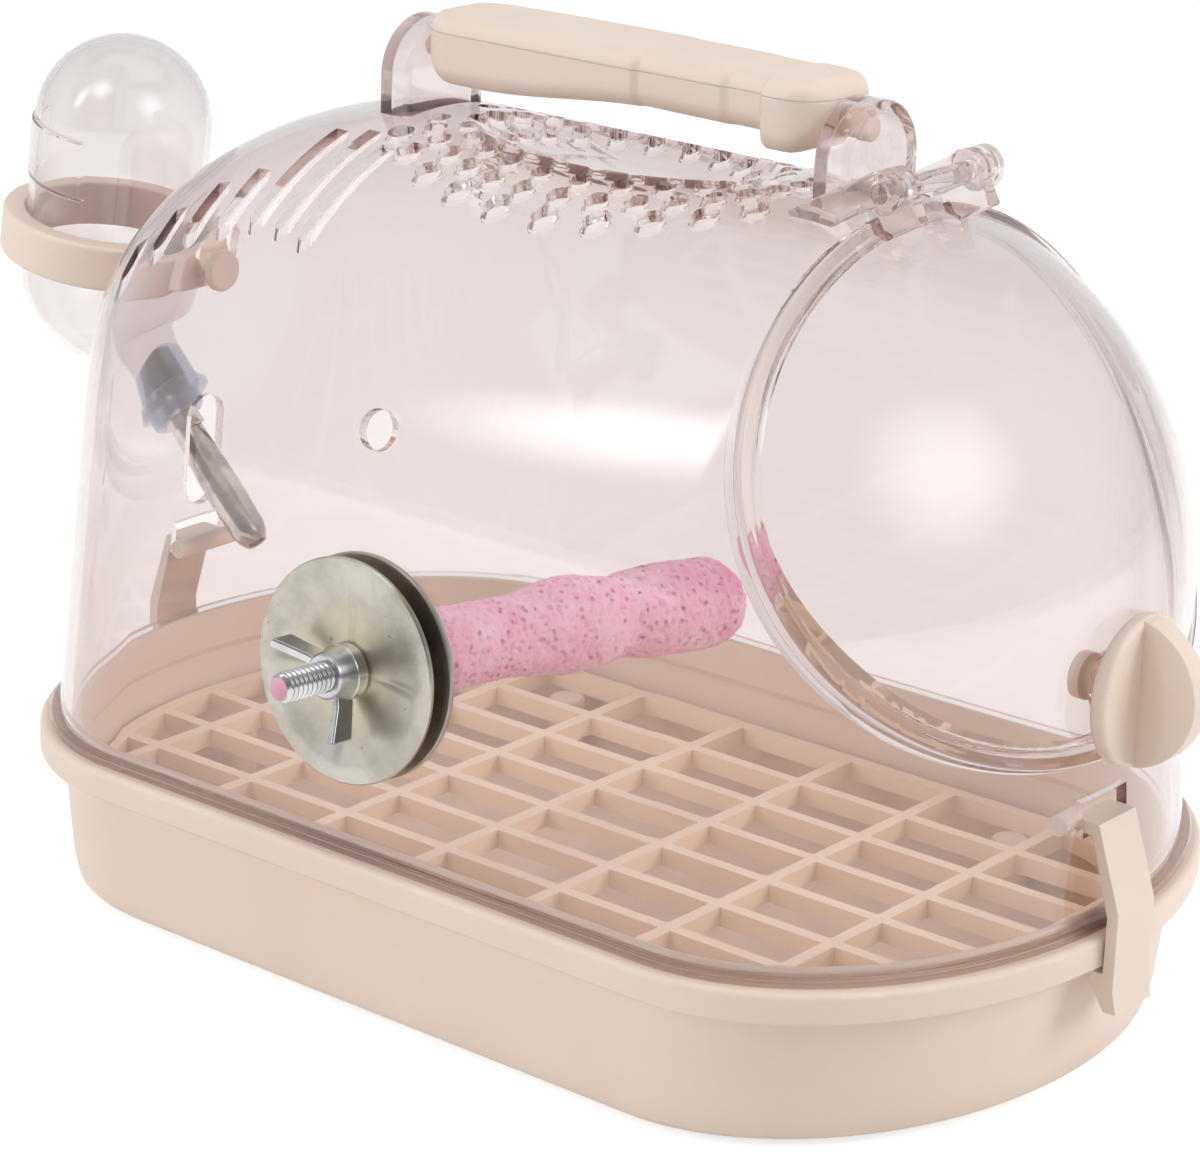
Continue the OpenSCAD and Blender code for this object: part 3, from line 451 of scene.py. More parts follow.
CREAM = moulded("cream_plastic", srgb(241, 223, 208), srgb(237, 217, 201))
# Painted light: the grid's copy of the cream is lighter and warmer than the tray's, standing in for the warm light
# inside the cabin
GRID_CREAM_PAINTED_LIGHT = moulded("grid_plastic_painted_light", srgb(252, 230, 208), srgb(248, 223, 200))
CLEAR = clear("clear_plastic", (0.985, 0.972, 0.974), (0.5, 0.34, 0.34), 74, (1.0, 0.98, 0.955))
BOTTLE_CLEAR = clear("bottle_plastic", (0.985, 0.975, 0.975), (0.4, 0.25, 0.25), 70, (0.95, 0.93, 0.93), wave=0.0)
SILICONE = clear("silicone", (0.83, 0.88, 0.95), (0.5, 0.6, 0.8), 60, (0.8, 0.85, 0.92), 0.3, 1.4)
STEEL = metal("brushed_steel", srgb(236, 226, 220), srgb(158, 148, 142), 0.16)
ZINC = metal("zinc_plate", srgb(203, 201, 193), srgb(172, 167, 154), 0.32, srgb(92, 84, 70),
             tuple(AT_PERCH.translation * MM))
CHROME = metal("bright_zinc", srgb(226, 226, 228), srgb(180, 181, 184), 0.17)
SAND = sanded("perch_sand")
TIP = moulded("pink_cap", srgb(236, 184, 204), srgb(228, 168, 190), 0.6)


# Tray and grid

def oval(a, b, s, steps=64):
    """Plan of the cabin and tray: two half ellipses joined by straights of half length s."""
    half = [math.radians(-90 + 180 * i / steps) for i in range(steps + 1)]
    return ([(s + (a - s) * math.cos(t), b * math.sin(t)) for t in half]
            + [(-s - (a - s) * math.cos(t), -b * math.sin(t)) for t in half])


def rim_oval(inset, end_inset=0.0, steps=64):
    a, b = RIM_A - inset - end_inset, RIM_B - inset
    return oval(a, b, a - END_RATIO * b, steps)


def rim_prism(name, inset, low, high):
    return prism(name, rim_oval(inset), low, high)


def smooth_step(t):
    t = min(1.0, max(0.0, t))
    return t * t * (3 - 2 * t)


def tray_share(z):
    """Share of the taper at a height, from 1 at the foot to 0 at the rim."""
    if z < 2.5:
        return 1 - 0.45 * math.sin(math.pi / 2 * z / 2.5)
    if z < 6:
        return 0.55 - 0.13 * (z - 2.5) / 3.5
    return 0.42 * (TRAY_H - z) / (TRAY_H - 6)


def make_tray():
    band_z = TRAY_H - BAND_H
    foot_round, edge, lip_edge = 1.6, 1.3, 0.6
    profile = [(1, 0, 1.2), (1, 0, 0.6)]
    outside = [(tray_share(z), z, 0) for z in (0, 0.35, 0.8, 1.4, 2, 2.5, 4, 6, 10, 14, 18, 22, 26)]
    rings = [(1, 0, foot_round + 6), (1, 0, foot_round)] + [(s, z, foot_round * (1 - z / 2.5) ** 2 if z < 2.5 else 0)
                                                           for s, z, _ in outside]
    levels = [(BAND_OUT + s * TRAY_TAPER + i, s * (TRAY_END_TAPER - TRAY_TAPER), z) for s, z, i in rings]
    share = tray_share(band_z)
    levels += [(BAND_OUT + share * TRAY_TAPER, share * (TRAY_END_TAPER - TRAY_TAPER), band_z - 0.9),
               (BAND_OUT + share * TRAY_TAPER - 0.25, 0, band_z - 0.25), (BAND_OUT - 0.9, 0, band_z)]
    levels += [(edge - edge * math.sin(math.radians(t)), 0, band_z + edge * 0.7 * (1 - math.cos(math.radians(t))))
               for t in (30, 60, 90)]
    levels += [(edge - edge * math.cos(math.radians(t)), 0, TRAY_H - edge + edge * math.sin(math.radians(t)))
               for t in (0, 20, 40, 60, 80, 90)]
    levels += [(LIP_INSET - 0.3, 0, TRAY_H), (LIP_INSET, 0, TRAY_H + 0.3), (LIP_INSET, 0, TRAY_H + LIP_H - lip_edge),
               (LIP_INSET + 0.2, 0, TRAY_H + LIP_H - 0.2), (LIP_INSET + lip_edge, 0, TRAY_H + LIP_H),
               (LIP_INSET + LIP_T - lip_edge, 0, TRAY_H + LIP_H), (LIP_INSET + LIP_T - 0.2, 0, TRAY_H + LIP_H - 0.2),
               (LIP_INSET + LIP_T, 0, TRAY_H + LIP_H - lip_edge), (LIP_INSET + LIP_T, 0, band_z + 0.4),
               (LIP_INSET + LIP_T - 0.1, 0, band_z), (BAND_OUT + TRAY_WALL + 0.2, 0, band_z - 1.5)]
    inner = [22, 18, 14, 10, 7, 5.4, 4.2, 3.2, 2.5, TRAY_FLOOR]
    for z in inner:
        s = tray_share(z - 0.6)
        fillet = 4 * max(0.0, 1 - (z - TRAY_FLOOR) / 5) ** 2.4
        levels.append((BAND_OUT + TRAY_WALL + s * TRAY_TAPER + fillet, s * (TRAY_END_TAPER - TRAY_TAPER), z))
    levels.append((BAND_OUT + TRAY_WALL + TRAY_TAPER + 9, TRAY_END_TAPER - TRAY_TAPER, TRAY_FLOOR))
    tray = loft("tray", [[(x, y, z) for x, y in rim_oval(i, e)] for i, e, z in levels])
    pad_top = GRID_TOP - GRID_BAR_H
    pads = [lathe("pad", [(PAD_D / 2, TRAY_FLOOR - 1), (PAD_D / 2, pad_top - 0.5), (PAD_D / 2 - 0.5, pad_top)],
                  shift(x, y, 0), 32)
            for x, y in [(sx * PAD_X, sy * (RIM_B - PAD_IN)) for sx in (-1, 1) for sy in (-1, 1)]
            + [(sx * (RIM_A - PAD_IN - 4), 0) for sx in (-1, 1)]]
    fuse(tray, *pads)
    dress(tray, "carrier", CREAM, ["tray"])


def make_grid():
    low, high = GRID_TOP - GRID_BAR_H, GRID_TOP
    grid = rim_prism("floor_grid", GRID_INSET, low, high)
    carve(grid, rim_prism("hole", GRID_INSET + GRID_FRAME_W, low - 1, high + 1))
    bars = []
    for i in range(CROSS_COUNT // 2):
        for side in (-1, 1):
            x = side * (CROSS_MID / 2 + i * CROSS_PITCH)
            bars.append(box("bar", (x - GRID_BAR_W / 2, x + GRID_BAR_W / 2), (-RIM_B, RIM_B), (low, high)))
    for i in range(LONG_COUNT):
        y = (i - (LONG_COUNT - 1) / 2) * LONG_PITCH
        bars.append(box("bar", (-RIM_A, RIM_A), (y - GRID_BAR_W / 2, y + GRID_BAR_W / 2), (low, high)))
    lattice = fuse(bars[0], *bars[1:])
    keep(lattice, rim_prism("edge", GRID_INSET + 1, low, high))
    fuse(grid, lattice)
    soften(grid, 0.5, 2)
    # The grid wears the lighter, warmer copy of the cream: painted light from inside the cabin
    dress(grid, "grid", GRID_CREAM_PAINTED_LIGHT, ["floor_grid"])


# Cabin

def cabin_outline(inset, z, steps=64):
    """Outline of the cabin's body at a height, drawn in by the inset."""
    r = ARCH_R - inset
    if z < ARCH_Z + r * math.sin(SIDE_DRAFT):
        b = FOOT_B - inset / math.cos(SIDE_DRAFT) - (z - TRAY_H) * math.tan(SIDE_DRAFT)
    else:
        b = math.sqrt(max(0.0, r * r - (z - ARCH_Z) ** 2))
    if z < SHOULDER_Z:
        a = FOOT_A - inset - (z - TRAY_H) * math.tan(END_DRAFT)
    else:
        a = RIDGE_HALF + (SHOULDER_A - inset - RIDGE_HALF) * math.sqrt(
            max(0.0, 1 - ((z - SHOULDER_Z) / (SHOULDER_H - inset)) ** 2))
    return a, b, a - END_RATIO * b


def cabin_body(name, inset, foot):
    r = ARCH_R - inset
    sides, arches = 10, 44
    heights = [foot + (ARCH_Z + r * math.sin(SIDE_DRAFT) - foot) * i / sides for i in range(sides)]
    for i in range(arches + 1):
        t = SIDE_DRAFT + (math.radians(89) - SIDE_DRAFT) * i / arches
        heights.append(ARCH_Z + r * math.sin(t))
    return loft(name, [[(x, y, z) for x, y in oval(*cabin_outline(inset, z))] for z in heights])


def roof_height(x, y):
    """Height of the cabin's outer skin over a point, hollow included."""
    low, high = SHOULDER_Z - 30, float(CABIN_TOP)
    for _ in range(24):
        z = (low + high) / 2
        a, b, s = cabin_outline(0, z)
        over = max(0.0, abs(x) - s) / max(a - s, 0.001)
        if over ** 2 + (y / max(b, 0.001)) ** 2 <= 1:
            low = z
        else:
            high = z
    return min(low, dish_height(x, y))


def dish_size(depth):
    """Half sizes of the finger hollow at a depth below the roof's top."""
    t = (DISH[0][0] - depth) / (DISH[0][0] - DISH[-1][0])
    return DISH[0][1] + (DISH[-1][1] - DISH[0][1]) * t ** 0.55, DISH[0][2] + (DISH[-1][2] - DISH[0][2]) * t ** 0.6


def dish_height(x, y):
    low, high = float(DISH[-1][0]), float(DISH[0][0])
    for _ in range(20):
        depth = (low + high) / 2
        a, b = dish_size(depth)
        if (x / a) ** 2 + (y / b) ** 2 <= 1:
            low = depth
        else:
            high = depth
    return CABIN_TOP - low


def finger_dish(name, grow):
    rings = []
    for i in range(21):
        depth = DISH[0][0] + (DISH[-1][0] - DISH[0][0]) * (i / 20) ** 1.6
        a, b = dish_size(depth)
        rings.append([((a + grow) * math.cos(math.tau * k / 96), (b + grow) * math.sin(math.tau * k / 96),
                       CABIN_TOP - depth - grow) for k in range(96)])
    return loft(name, rings)


def door_bend(y):
    """How far the door's bent plane falls away at a distance from its middle."""
    return math.sqrt(DOOR_BEND ** 2 - y ** 2) - DOOR_BEND


def door_drum(name, out):
    """Everything behind the door's bent plane, moved out by the given distance."""
    reach, depth, r = 110.0, 260.0, DOOR_BEND + out
    top = [(-reach + 2 * reach * i / 96) for i in range(97)]
    outline = [(y, math.sqrt(r * r - y * y) - DOOR_BEND) for y in top] + [(reach, -depth), (-reach, -depth)]
    return loft(name, [[(x, y, z) for y, z in outline] for x in (-300, 300)], AT_DOOR)


def door_ring(name, outer, inner, low, high, rounding=0.6, steps=144):
    """An oval ring with rounded edges on the door's bend."""
    width = outer[0] - inner[0]
    rounding = min(rounding, (high - low) / 2 - 0.02)
    profile = []
    for u, n, start in ((width - rounding, high - rounding, 0), (rounding, high - rounding, 90),
                        (rounding, low + rounding, 180), (width - rounding, low + rounding, 270)):
        profile += arc(u, n, rounding, start, start + 90, 8)
    rings = []
    for k in range(steps):
        t = math.tau * k / steps
        ring = []
        for u, n in profile:
            share = u / width
            x = (inner[0] + (outer[0] - inner[0]) * share) * math.cos(t)
            y = (inner[1] + (outer[1] - inner[1]) * share) * math.sin(t)
            ring.append((x, y, n + door_bend(y)))
        rings.append(ring)
    return loft(name, rings, AT_DOOR, looped=True)


def ear_outline(inset):
    r, centre = EAR_B - inset, EAR_TOP - EAR_B
    return arc(0, centre, r, 0, 180, 40) + [(-r, CABIN_TOP - 12), (r, CABIN_TOP - 12)]


def ear_slab(name, side, start, end, inset):
    outline = [(y, z) for y, z in ear_outline(inset)]
    return loft(name, [[(HANDLE_X + side * x, y, z) for y, z in outline] for x in (start, end)])


def vent_places():
    for ring, (d, count) in enumerate(zip(VENT_D, VENT_COUNT)):
        a, b = VENT_A - ring * VENT_STEP_A, VENT_B - ring * VENT_STEP_B
        for i in range(count):
            t = math.tau * (i + 0.5) / count
            x, y = a * math.cos(t), b * math.sin(t)
            if abs(x - HANDLE_X) < EAR_IN - 4 or abs(y) > EAR_B + 4:
                yield x, y, d / 2


def vent_tool(x, y, r, flare=0.3):
    """A round cutter whose ends flare to follow the roof's slope, so that the hole's edges are round."""
    step, r = 0.5, r - 0.35
    z = roof_height(x, y)
    slope_x = (roof_height(x + step, y) - roof_height(x - step, y)) / (2 * step)
    slope_y = (roof_height(x, y + step) - roof_height(x, y - step)) / (2 * step)
    profile = [(r + flare, -9.0), (r + flare, -WALL - 0.2)]
    profile += [(r + flare - flare * math.sin(math.radians(t)), -WALL - 0.1 + flare * (1 - math.cos(math.radians(t))))
                for t in (25, 50, 75, 90)]
    profile += [(r + flare - flare * math.sin(math.radians(t)), 0.1 - flare * (1 - math.cos(math.radians(t))))
                for t in (90, 75, 50, 25)]
    profile += [(r + flare, 0.2), (r + flare, 7.0)]
    rings = []
    for radius, dz in profile:
        rings.append([(x + px, y + py, z + dz + slope_x * px + slope_y * py)
                      for px, py, _ in circle(radius, 0, 48)])
    return rings


def merged_tool(name, parts):
    """One mesh out of several separate lofts."""
    points, faces = [], []
    for rings in parts:
        n, m, base = len(rings[0]), len(rings), len(points)
        points += [p for ring in rings for p in ring]
        for k in range(m - 1):
            low, high = base + k * n, base + (k + 1) * n
            faces += [(low + i, low + (i + 1) % n, high + (i + 1) % n, high + i) for i in range(n)]
        faces += [tuple(base + i for i in range(n - 1, -1, -1)), tuple(base + (m - 1) * n + i for i in range(n))]
    return solid(name, points, faces)


def slot_tool(index, side):
    inner, outer = SLOT_SPANS[index]
    x = SLOT_X - index * SLOT_PITCH
    r = SLOT_W / 2
    outline = arc(x, side * outer, r, 0, 180 * side, 20) + [(x - r, side * inner), (x + r, side * inner)]
    return [[(px, py, z) for px, py in outline] for z in (CABIN_TOP - 90, CABIN_TOP + 10)]


def lug(name, near, width):
    """A hinge lug: a round boss."""
    foot = [(-KNUCKLE_R, KNUCKLE_R * 0), (-KNUCKLE_R, 12 + HINGE_N - 0)]
    boss = lathe(name, [(KNUCKLE_R - 0.5, near), (KNUCKLE_R, near + 0.5), (KNUCKLE_R, near + width - 0.5),
                        (KNUCKLE_R - 0.5, near + width)], AT_HINGE, 48)
    return boss


def make_cabin():
    cabin = cabin_body("cabin", 0, TRAY_H)
    keep(cabin, door_drum("drum", 0))
    flange_in = FOOT_INSET - FOOT_FLANGE_W
    flange = loft("flange", [[(x, y, TRAY_H + z) for x, y in rim_oval(flange_in + i)]
                             for i, z in ((0.3, 0), (0, 0.3), (0, FOOT_FLANGE_H - 0.6), (0.2, FOOT_FLANGE_H - 0.2),
                                          (0.6, FOOT_FLANGE_H))])
    rim = door_ring("rim", (DOOR_V, DOOR_W), (MOUTH_V, MOUTH_W), -RIM_T, 0)
    ears = [soften(ear_slab("ear", side, EAR_IN, EAR_IN + EAR_T, 0), 1.2, 8) for side in (-1, 1)]
    lugs = []
    for side in (-1, 1):
        near = LUG_IN if side > 0 else -LUG_IN - LUG_W
        lugs.append(lug("lug", near, LUG_W))
        foot_x = (-HINGE_V - KNUCKLE_R, -DOOR_V - 0.6)
        lugs.append(soften(box("foot", foot_x, (near, near + LUG_W), (-12, HINGE_N), AT_DOOR), 0.6, 8))
    fuse(cabin, flange, rim, *ears, *lugs)
    hollow = cabin_body("hollow", WALL, TRAY_H - 1)
    fuse(hollow, *[soften(ear_slab("ear", side, EAR_IN + EAR_WALL, EAR_IN + EAR_T - EAR_WALL, EAR_WALL), 0.8, 8)
                   for side in (-1, 1)])
    carve(hollow, finger_dish("dish", WALL))
    carve(hollow, door_ring("rim", (DOOR_V, DOOR_W), (MOUTH_V, MOUTH_W), -RIM_T, 1.2, 0.3))
    carve(cabin, hollow)
    carve(cabin, finger_dish("dish", 0))
    carve(cabin, merged_tool("vents", [vent_tool(*place) for place in vent_places()]))
    carve(cabin, merged_tool("slots", [slot_tool(i, side) for i in range(len(SLOT_SPANS)) for side in (-1, 1)]))
    holes = [lathe("peg_hole", [(PEG_D / 2 + 0.05, side * (EAR_IN - 1)), (PEG_D / 2 + 0.05, side * (EAR_IN + EAR_WALL + 0.8))],
                   shift(HANDLE_X, 0, PIVOT_Z) @ turn(90, "Y"), 32) for side in (-1, 1)]
    holes += [box("clip_slot", (side * CLIP_WALL_X - 8, side * CLIP_WALL_X + 8), (-CLIP_SLOT_W / 2, CLIP_SLOT_W / 2),
                  (CLIP_SLOT_Z - CLIP_SLOT_H / 2, CLIP_SLOT_Z + CLIP_SLOT_H / 2)) for side in (-1, 1)]
    across = shift(-KEYHOLE_X, 0, 0) @ turn(90, "Y")
    holes.append(lathe("keyhole", [(KEYHOLE_D / 2, -6), (KEYHOLE_D / 2, 6)],
                       shift(-KEYHOLE_X, 0, KEYHOLE_Z + BOTTLE_LIFT) @ turn(90, "Y"), 48))
    half = PEG_NECK_D / 2 + FIT
    holes.append(box("keyhole_foot", (-KEYHOLE_X - 6, -KEYHOLE_X + 6), (-half, half),
                     (KEYHOLE_Z - half, KEYHOLE_Z + BOTTLE_LIFT + half)))
    obround = arc(0, SLOT_LOW, SLOT_HALF, 180, 360, 24) + arc(0, SLOT_HIGH, SLOT_HALF, 0, 180, 24)
    holes.append(loft("spout_slot", [[(x, y, z) for y, z in obround] for x in (-KEYHOLE_X - 10, -KEYHOLE_X + 6)]))
    holes.append(lathe("stud_hole", [(STUD_D / 2 + 0.5, -10), (STUD_D / 2 + 0.5, 10)], AT_PERCH, 32))
    side_y = -math.sqrt(ARCH_R ** 2 - (SIDE_HOLE_Z - ARCH_Z) ** 2)
    holes.append(lathe("side_hole", [(SIDE_HOLE_D / 2, -10), (SIDE_HOLE_D / 2, 10)],
                       shift(SIDE_HOLE_X, side_y, SIDE_HOLE_Z) @ turn(70, "X"), 48))
    holes.append(lathe("rod_hole", [(HINGE_ROD_D / 2, -ROD_HALF - 1), (HINGE_ROD_D / 2, ROD_HALF + 1)], AT_HINGE, 32))
    carve(cabin, *holes)
    dress(cabin, "carrier", CLEAR, ["cabin"], 12, weighted=False)


def make_lid():
    steps, points = 26, 144
    angles = [LID_EDGE * (1 - i / (steps + 0.15)) for i in range(steps + 1)]

    def bulge(shrink):
        rings = []
        for t in angles:
            v = (LID_R - shrink) * math.sin(t)
            rise = LID_BASE + (LID_R - shrink) * math.cos(t) - LID_R * math.cos(LID_EDGE)
            ring = [(v * math.cos(math.tau * k / points), v * LID_W / LID_V * math.sin(math.tau * k / points))
                    for k in range(points)]
            rings.append([(x, y, rise + door_bend(y)) for x, y in ring])
        return rings

    lid = loft("door_lid", bulge(WALL)[::-1] + bulge(0), AT_DOOR)
    rim = door_ring("rim", (DOOR_V, DOOR_W), (MOUTH_V, MOUTH_W), DOOR_GAP, LID_BASE)
    boss_r, boss_l, boss_gap = SPINDLE_D / 2 + 3, 6, 0.2
    boss = lathe("boss", [(boss_r, -boss_l), (boss_r, -boss_gap)], AT_KNOB, 48)
    knuckles = []
    for side in (-1, 1):
        near = KNUCKLE_IN if side > 0 else -KNUCKLE_IN - KNUCKLE_W
        knuckles.append(lug("knuckle", near, KNUCKLE_W))
        knuckles.append(soften(box("foot", (-HINGE_V, -HINGE_V + 8), (near, near + KNUCKLE_W),
                                   (DOOR_GAP + 0.2, HINGE_N + KNUCKLE_R * 0.7), AT_DOOR), 0.6, 8))
    fuse(lid, rim, boss, *knuckles)
    bore = SPINDLE_D / 2 + SPINDLE_CLEAR
    rod = HINGE_ROD_D / 2 + HINGE_CLEAR
    carve(lid, lathe("bore", [(bore, -20), (bore, 20)], AT_KNOB, 48),
          lathe("bore", [(rod, -ROD_HALF), (rod, ROD_HALF)], AT_HINGE, 40))
    dress(lid, "door", CLEAR, ["door_lid"], 16, weighted=False)
    r = HINGE_ROD_D / 2
    rod = lathe("hinge_rod", [(r - 0.5, -ROD_HALF), (r, -ROD_HALF + 0.5), (r, ROD_HALF - 0.5), (r - 0.5, ROD_HALF)],
                AT_HINGE, 40)
    dress(rod, "carrier", CLEAR, ["hinge_rod"], 30)


# Latch and clips

def make_latch():
    r, edge = KNOB_D / 2, 1.2
    profile = [(r - edge, 0)] + [(r - edge + edge * math.sin(math.radians(t)), edge - edge * math.cos(math.radians(t)))
                                 for t in (20, 40, 60, 80, 90)]
    profile += [(r - edge + edge * math.cos(math.radians(t)), KNOB_T - edge + edge * math.sin(math.radians(t)))
                for t in (0, 20, 40, 60, 80, 90)]
    knob = lathe("latch_knob", profile, AT_KNOB, 96)
    centre = KNOB_T + KNOB_RIB_H - r
    half = [(x, z) for x, z in arc(0, centre, r, 0, 180, 48) if z > KNOB_T - 0.5]
    half = [(half[0][0], KNOB_T - 0.5)] + half + [(half[-1][0], KNOB_T - 0.5)]
    rib = loft("rib", [[(x, y, z) for x, z in half] for y in (-KNOB_RIB_T / 2, KNOB_RIB_T / 2)], AT_KNOB)
    soften(rib, 1.4, 4)
    spindle = lathe("spindle", [(SPINDLE_D / 2, -SPINDLE_L), (SPINDLE_D / 2, 0.5)], AT_KNOB, 40)
    fuse(knob, rib, spindle)
    dress(knob, "latch", CREAM, ["latch_knob"])
    back = -SPINDLE_L - TONGUE_T
    tongue = lathe("latch_tongue", [(SPINDLE_D / 2 + 1.5, back), (SPINDLE_D / 2 + 1.5, -SPINDLE_L)], AT_KNOB, 48)
    w = TONGUE_W / 2
    outline = [(-w, 0)] + arc(-w + 1, TONGUE_L - 1, 1, 180, 90, 4) + arc(w - 1, TONGUE_L - 1, 1, 90, 0, 4) + [(w, 0)]
    fuse(tongue, prism("blade", outline, back, -SPINDLE_L, AT_KNOB))
    soften(tongue, 0.35, 2)
    dress(tongue, "latch", CREAM, ["latch_tongue"])


def clip_outline():
    step_x, low = CLIP_WALL_X + 1.2, TRAY_H - BAND_H - 0.8
    hook_t, hook_in, out = 3, 2.6, CLIP_OUT_X + CLIP_T
    return [(CLIP_BAR_X, CLIP_BAR_Z + CLIP_T / 2), (step_x + 1.2, CLIP_BAR_Z + CLIP_T / 2),
            (out, TRAY_H + 5), (out, low - hook_t), (out + 1, low - hook_t - CLIP_TAB),
            (CLIP_OUT_X + 0.6, low - hook_t - CLIP_TAB), (CLIP_OUT_X - hook_in, low - hook_t + 0.8),
            (CLIP_OUT_X - hook_in, low), (CLIP_OUT_X, low), (CLIP_OUT_X, TRAY_H + 4),
            (step_x, CLIP_BAR_Z - CLIP_T / 2), (CLIP_BAR_X, CLIP_BAR_Z - CLIP_T / 2)]


def make_clip(name, body, side):
    outline = clip_outline()
    clip = loft(name, [[(side * x, y, z) for x, z in outline] for y in (-CLIP_W / 2, CLIP_W / 2)])
    bar = lathe("bar", [(CLIP_BAR_D / 2, -CLIP_SLOT_W / 2 - 2), (CLIP_BAR_D / 2, CLIP_SLOT_W / 2 + 2)],
                shift(side * CLIP_BAR_X, 0, CLIP_BAR_Z) @ turn(90, "X"), 32)
    fuse(clip, bar)
    soften(clip, 0.5, 3)
    dress(clip, body, CREAM, [name])


# Handle

def handle_section(x):
    """Half width, lowest and highest point of the handle at a distance from its middle."""
    end, step = HANDLE_L / 2, 1.0
    past_waist = 1 - smooth_step((x - WAIST_TO + step) / step)
    inset = (HANDLE_W - WAIST_W) / 4 * (smooth_step((x - WAIST_FROM) / step) + smooth_step((x - WAIST_STEP) / step))
    rise = HANDLE_ARCH * smooth_step((x + 34) / 44) if x < WAIST_FROM else HANDLE_ARCH - 0.4 * (x - WAIST_FROM) / 34
    corner, crown, plan = 8.0, 4.0, 10.0 if x < 0 else 8.0
    sink = [size - math.sqrt(max(0.0, size ** 2 - max(0.0, abs(x) - (end - size)) ** 2))
            for size in (corner, crown, plan)]
    low = HANDLE_Z + max(rise * past_waist, sink[0])
    high = HANDLE_Z + HANDLE_H - sink[1] - 0.5 * (abs(x) / end) ** 2
    return min(HANDLE_W / 2 - inset * past_waist, HANDLE_W / 2 - sink[2]), low, max(high, low + 0.8)


def handle_rings():
    end = HANDLE_L / 2
    edges = [end - 0.02, end - 0.15, end - 0.4, end - 0.8, end - 1.3, end - 2, end - 3, end - 4, end - 5.5, end - 7]
    middles = [-end + 8.5 + (2 * end - 17) * i / 120 for i in range(121)]
    stations = [-x for x in edges] + middles + edges[::-1]
    rings = []
    for x in stations:
        w, low, high = handle_section(x)
        r = min(4.0, w * 0.95, (high - low) / 2 * 0.95)
        outline = (arc(w - r, low + r, r, -90, 0, 8) + arc(w - r, high - r, r, 0, 90, 8)
                   + arc(-w + r, high - r, r, 90, 180, 8) + arc(-w + r, low + r, r, 180, 270, 8))
        rings.append([(HANDLE_X + x, y, z) for y, z in outline])
    return rings


def make_handle():
    parting = HANDLE_Z + PARTING_H
    bottom = loft("handle_bottom", handle_rings())
    top = copy_of(bottom, "handle_top")
    keep(bottom, box("half", (-80, 80), (-30, 30), (parting - 40, parting)))
    keep(top, box("half", (-80, 80), (-30, 30), (parting + 0.05, parting + 40)))
    soften(top, 0.25, 2, 60)
    soften(bottom, 0.25, 2, 60)
    pegs = [lathe("peg", [(PEG_D / 2, side * (HANDLE_L / 2 - 8)), (PEG_D / 2, side * (HANDLE_L / 2 + PEG_L - 0.4)),
                          (PEG_D / 2 - 0.4, side * (HANDLE_L / 2 + PEG_L))],
                  shift(HANDLE_X, 0, PIVOT_Z) @ turn(90, "Y"), 32) for side in (-1, 1)]
    fuse(bottom, *pegs)
    dress(bottom, "handle", CREAM, ["handle_bottom"], 40)
    dress(top, "handle", CREAM, ["handle_top"], 40)


# Bottle

def placed(place, ring):
    return [tuple(place @ Vector(p)) for p in ring]


def panel_rise(angle, depth):
    """The raised band round the bottle's outer side, below its dome."""
    turned = 360 - math.degrees(angle)
    return (PANEL_RISE * smooth_step((turned - PANEL_FROM) / 2.5) * smooth_step((PANEL_TO - turned) / 2.5)
            * smooth_step(depth / 0.5) * smooth_step((PANEL_DOWN - depth) / 0.5))


def bottle_path(inset, steps=144):
    """Rings of the bottle from its dome down to its neck, drawn in by the inset."""
    r, shoulder = BOTTLE_R - inset, RING_DOWN + 5
    rings = []
    for i in range(30):
        t = math.radians(89.2 * (1 - i / 30))
        rings.append(placed(AT_BOTTLE, circle(r * math.cos(t), r * math.sin(t), steps)))
    depths = [0, 0.15, 0.35, 0.55, 2, 5, 8, 11, 12.5, 12.7, 12.9, 13.1, 13.3, 15, 18, 22, 26, 30, 33, shoulder]
    for depth in depths:
        ring = []
        for k in range(steps):
            a = math.tau * k / steps
            radius = r + panel_rise(a, depth)
            ring.append((radius * math.cos(a), radius * math.sin(a), -depth))
        rings.append(placed(AT_BOTTLE, ring))
    neck = AT_SPOUT @ Vector((0, 0, 2 - NECK_L))
    neck_axis = (AT_SPOUT.to_3x3() @ Vector((0, 0, 1))).normalized()
    start = AT_BOTTLE @ Vector((0, 0, -shoulder))
    start_axis = (AT_BOTTLE.to_3x3() @ Vector((0, 0, -1))).normalized()
    across, reach, bends = Vector((0, 1, 0)), 13, 26
    a, b = start + start_axis * reach, neck - neck_axis * 9
    for i in range(1, bends + 2):
        t = min(1.0, i / bends)
        centre = start * (1 - t) ** 3 + a * (3 * t * (1 - t) ** 2) + b * (3 * t * t * (1 - t)) + neck * t ** 3
        axis = start_axis.lerp(neck_axis, smooth_step(t)).normalized()
        radius = r + (NECK_R - inset - r) * smooth_step(t) ** 0.9
        if i > bends:
            centre = AT_SPOUT @ Vector((0, 0, 0))
        side = axis.cross(across).normalized()
        rings.append([tuple(centre + side * (radius * math.cos(math.tau * k / steps))
                            + across * (radius * math.sin(math.tau * k / steps))) for k in range(steps)])
    return rings


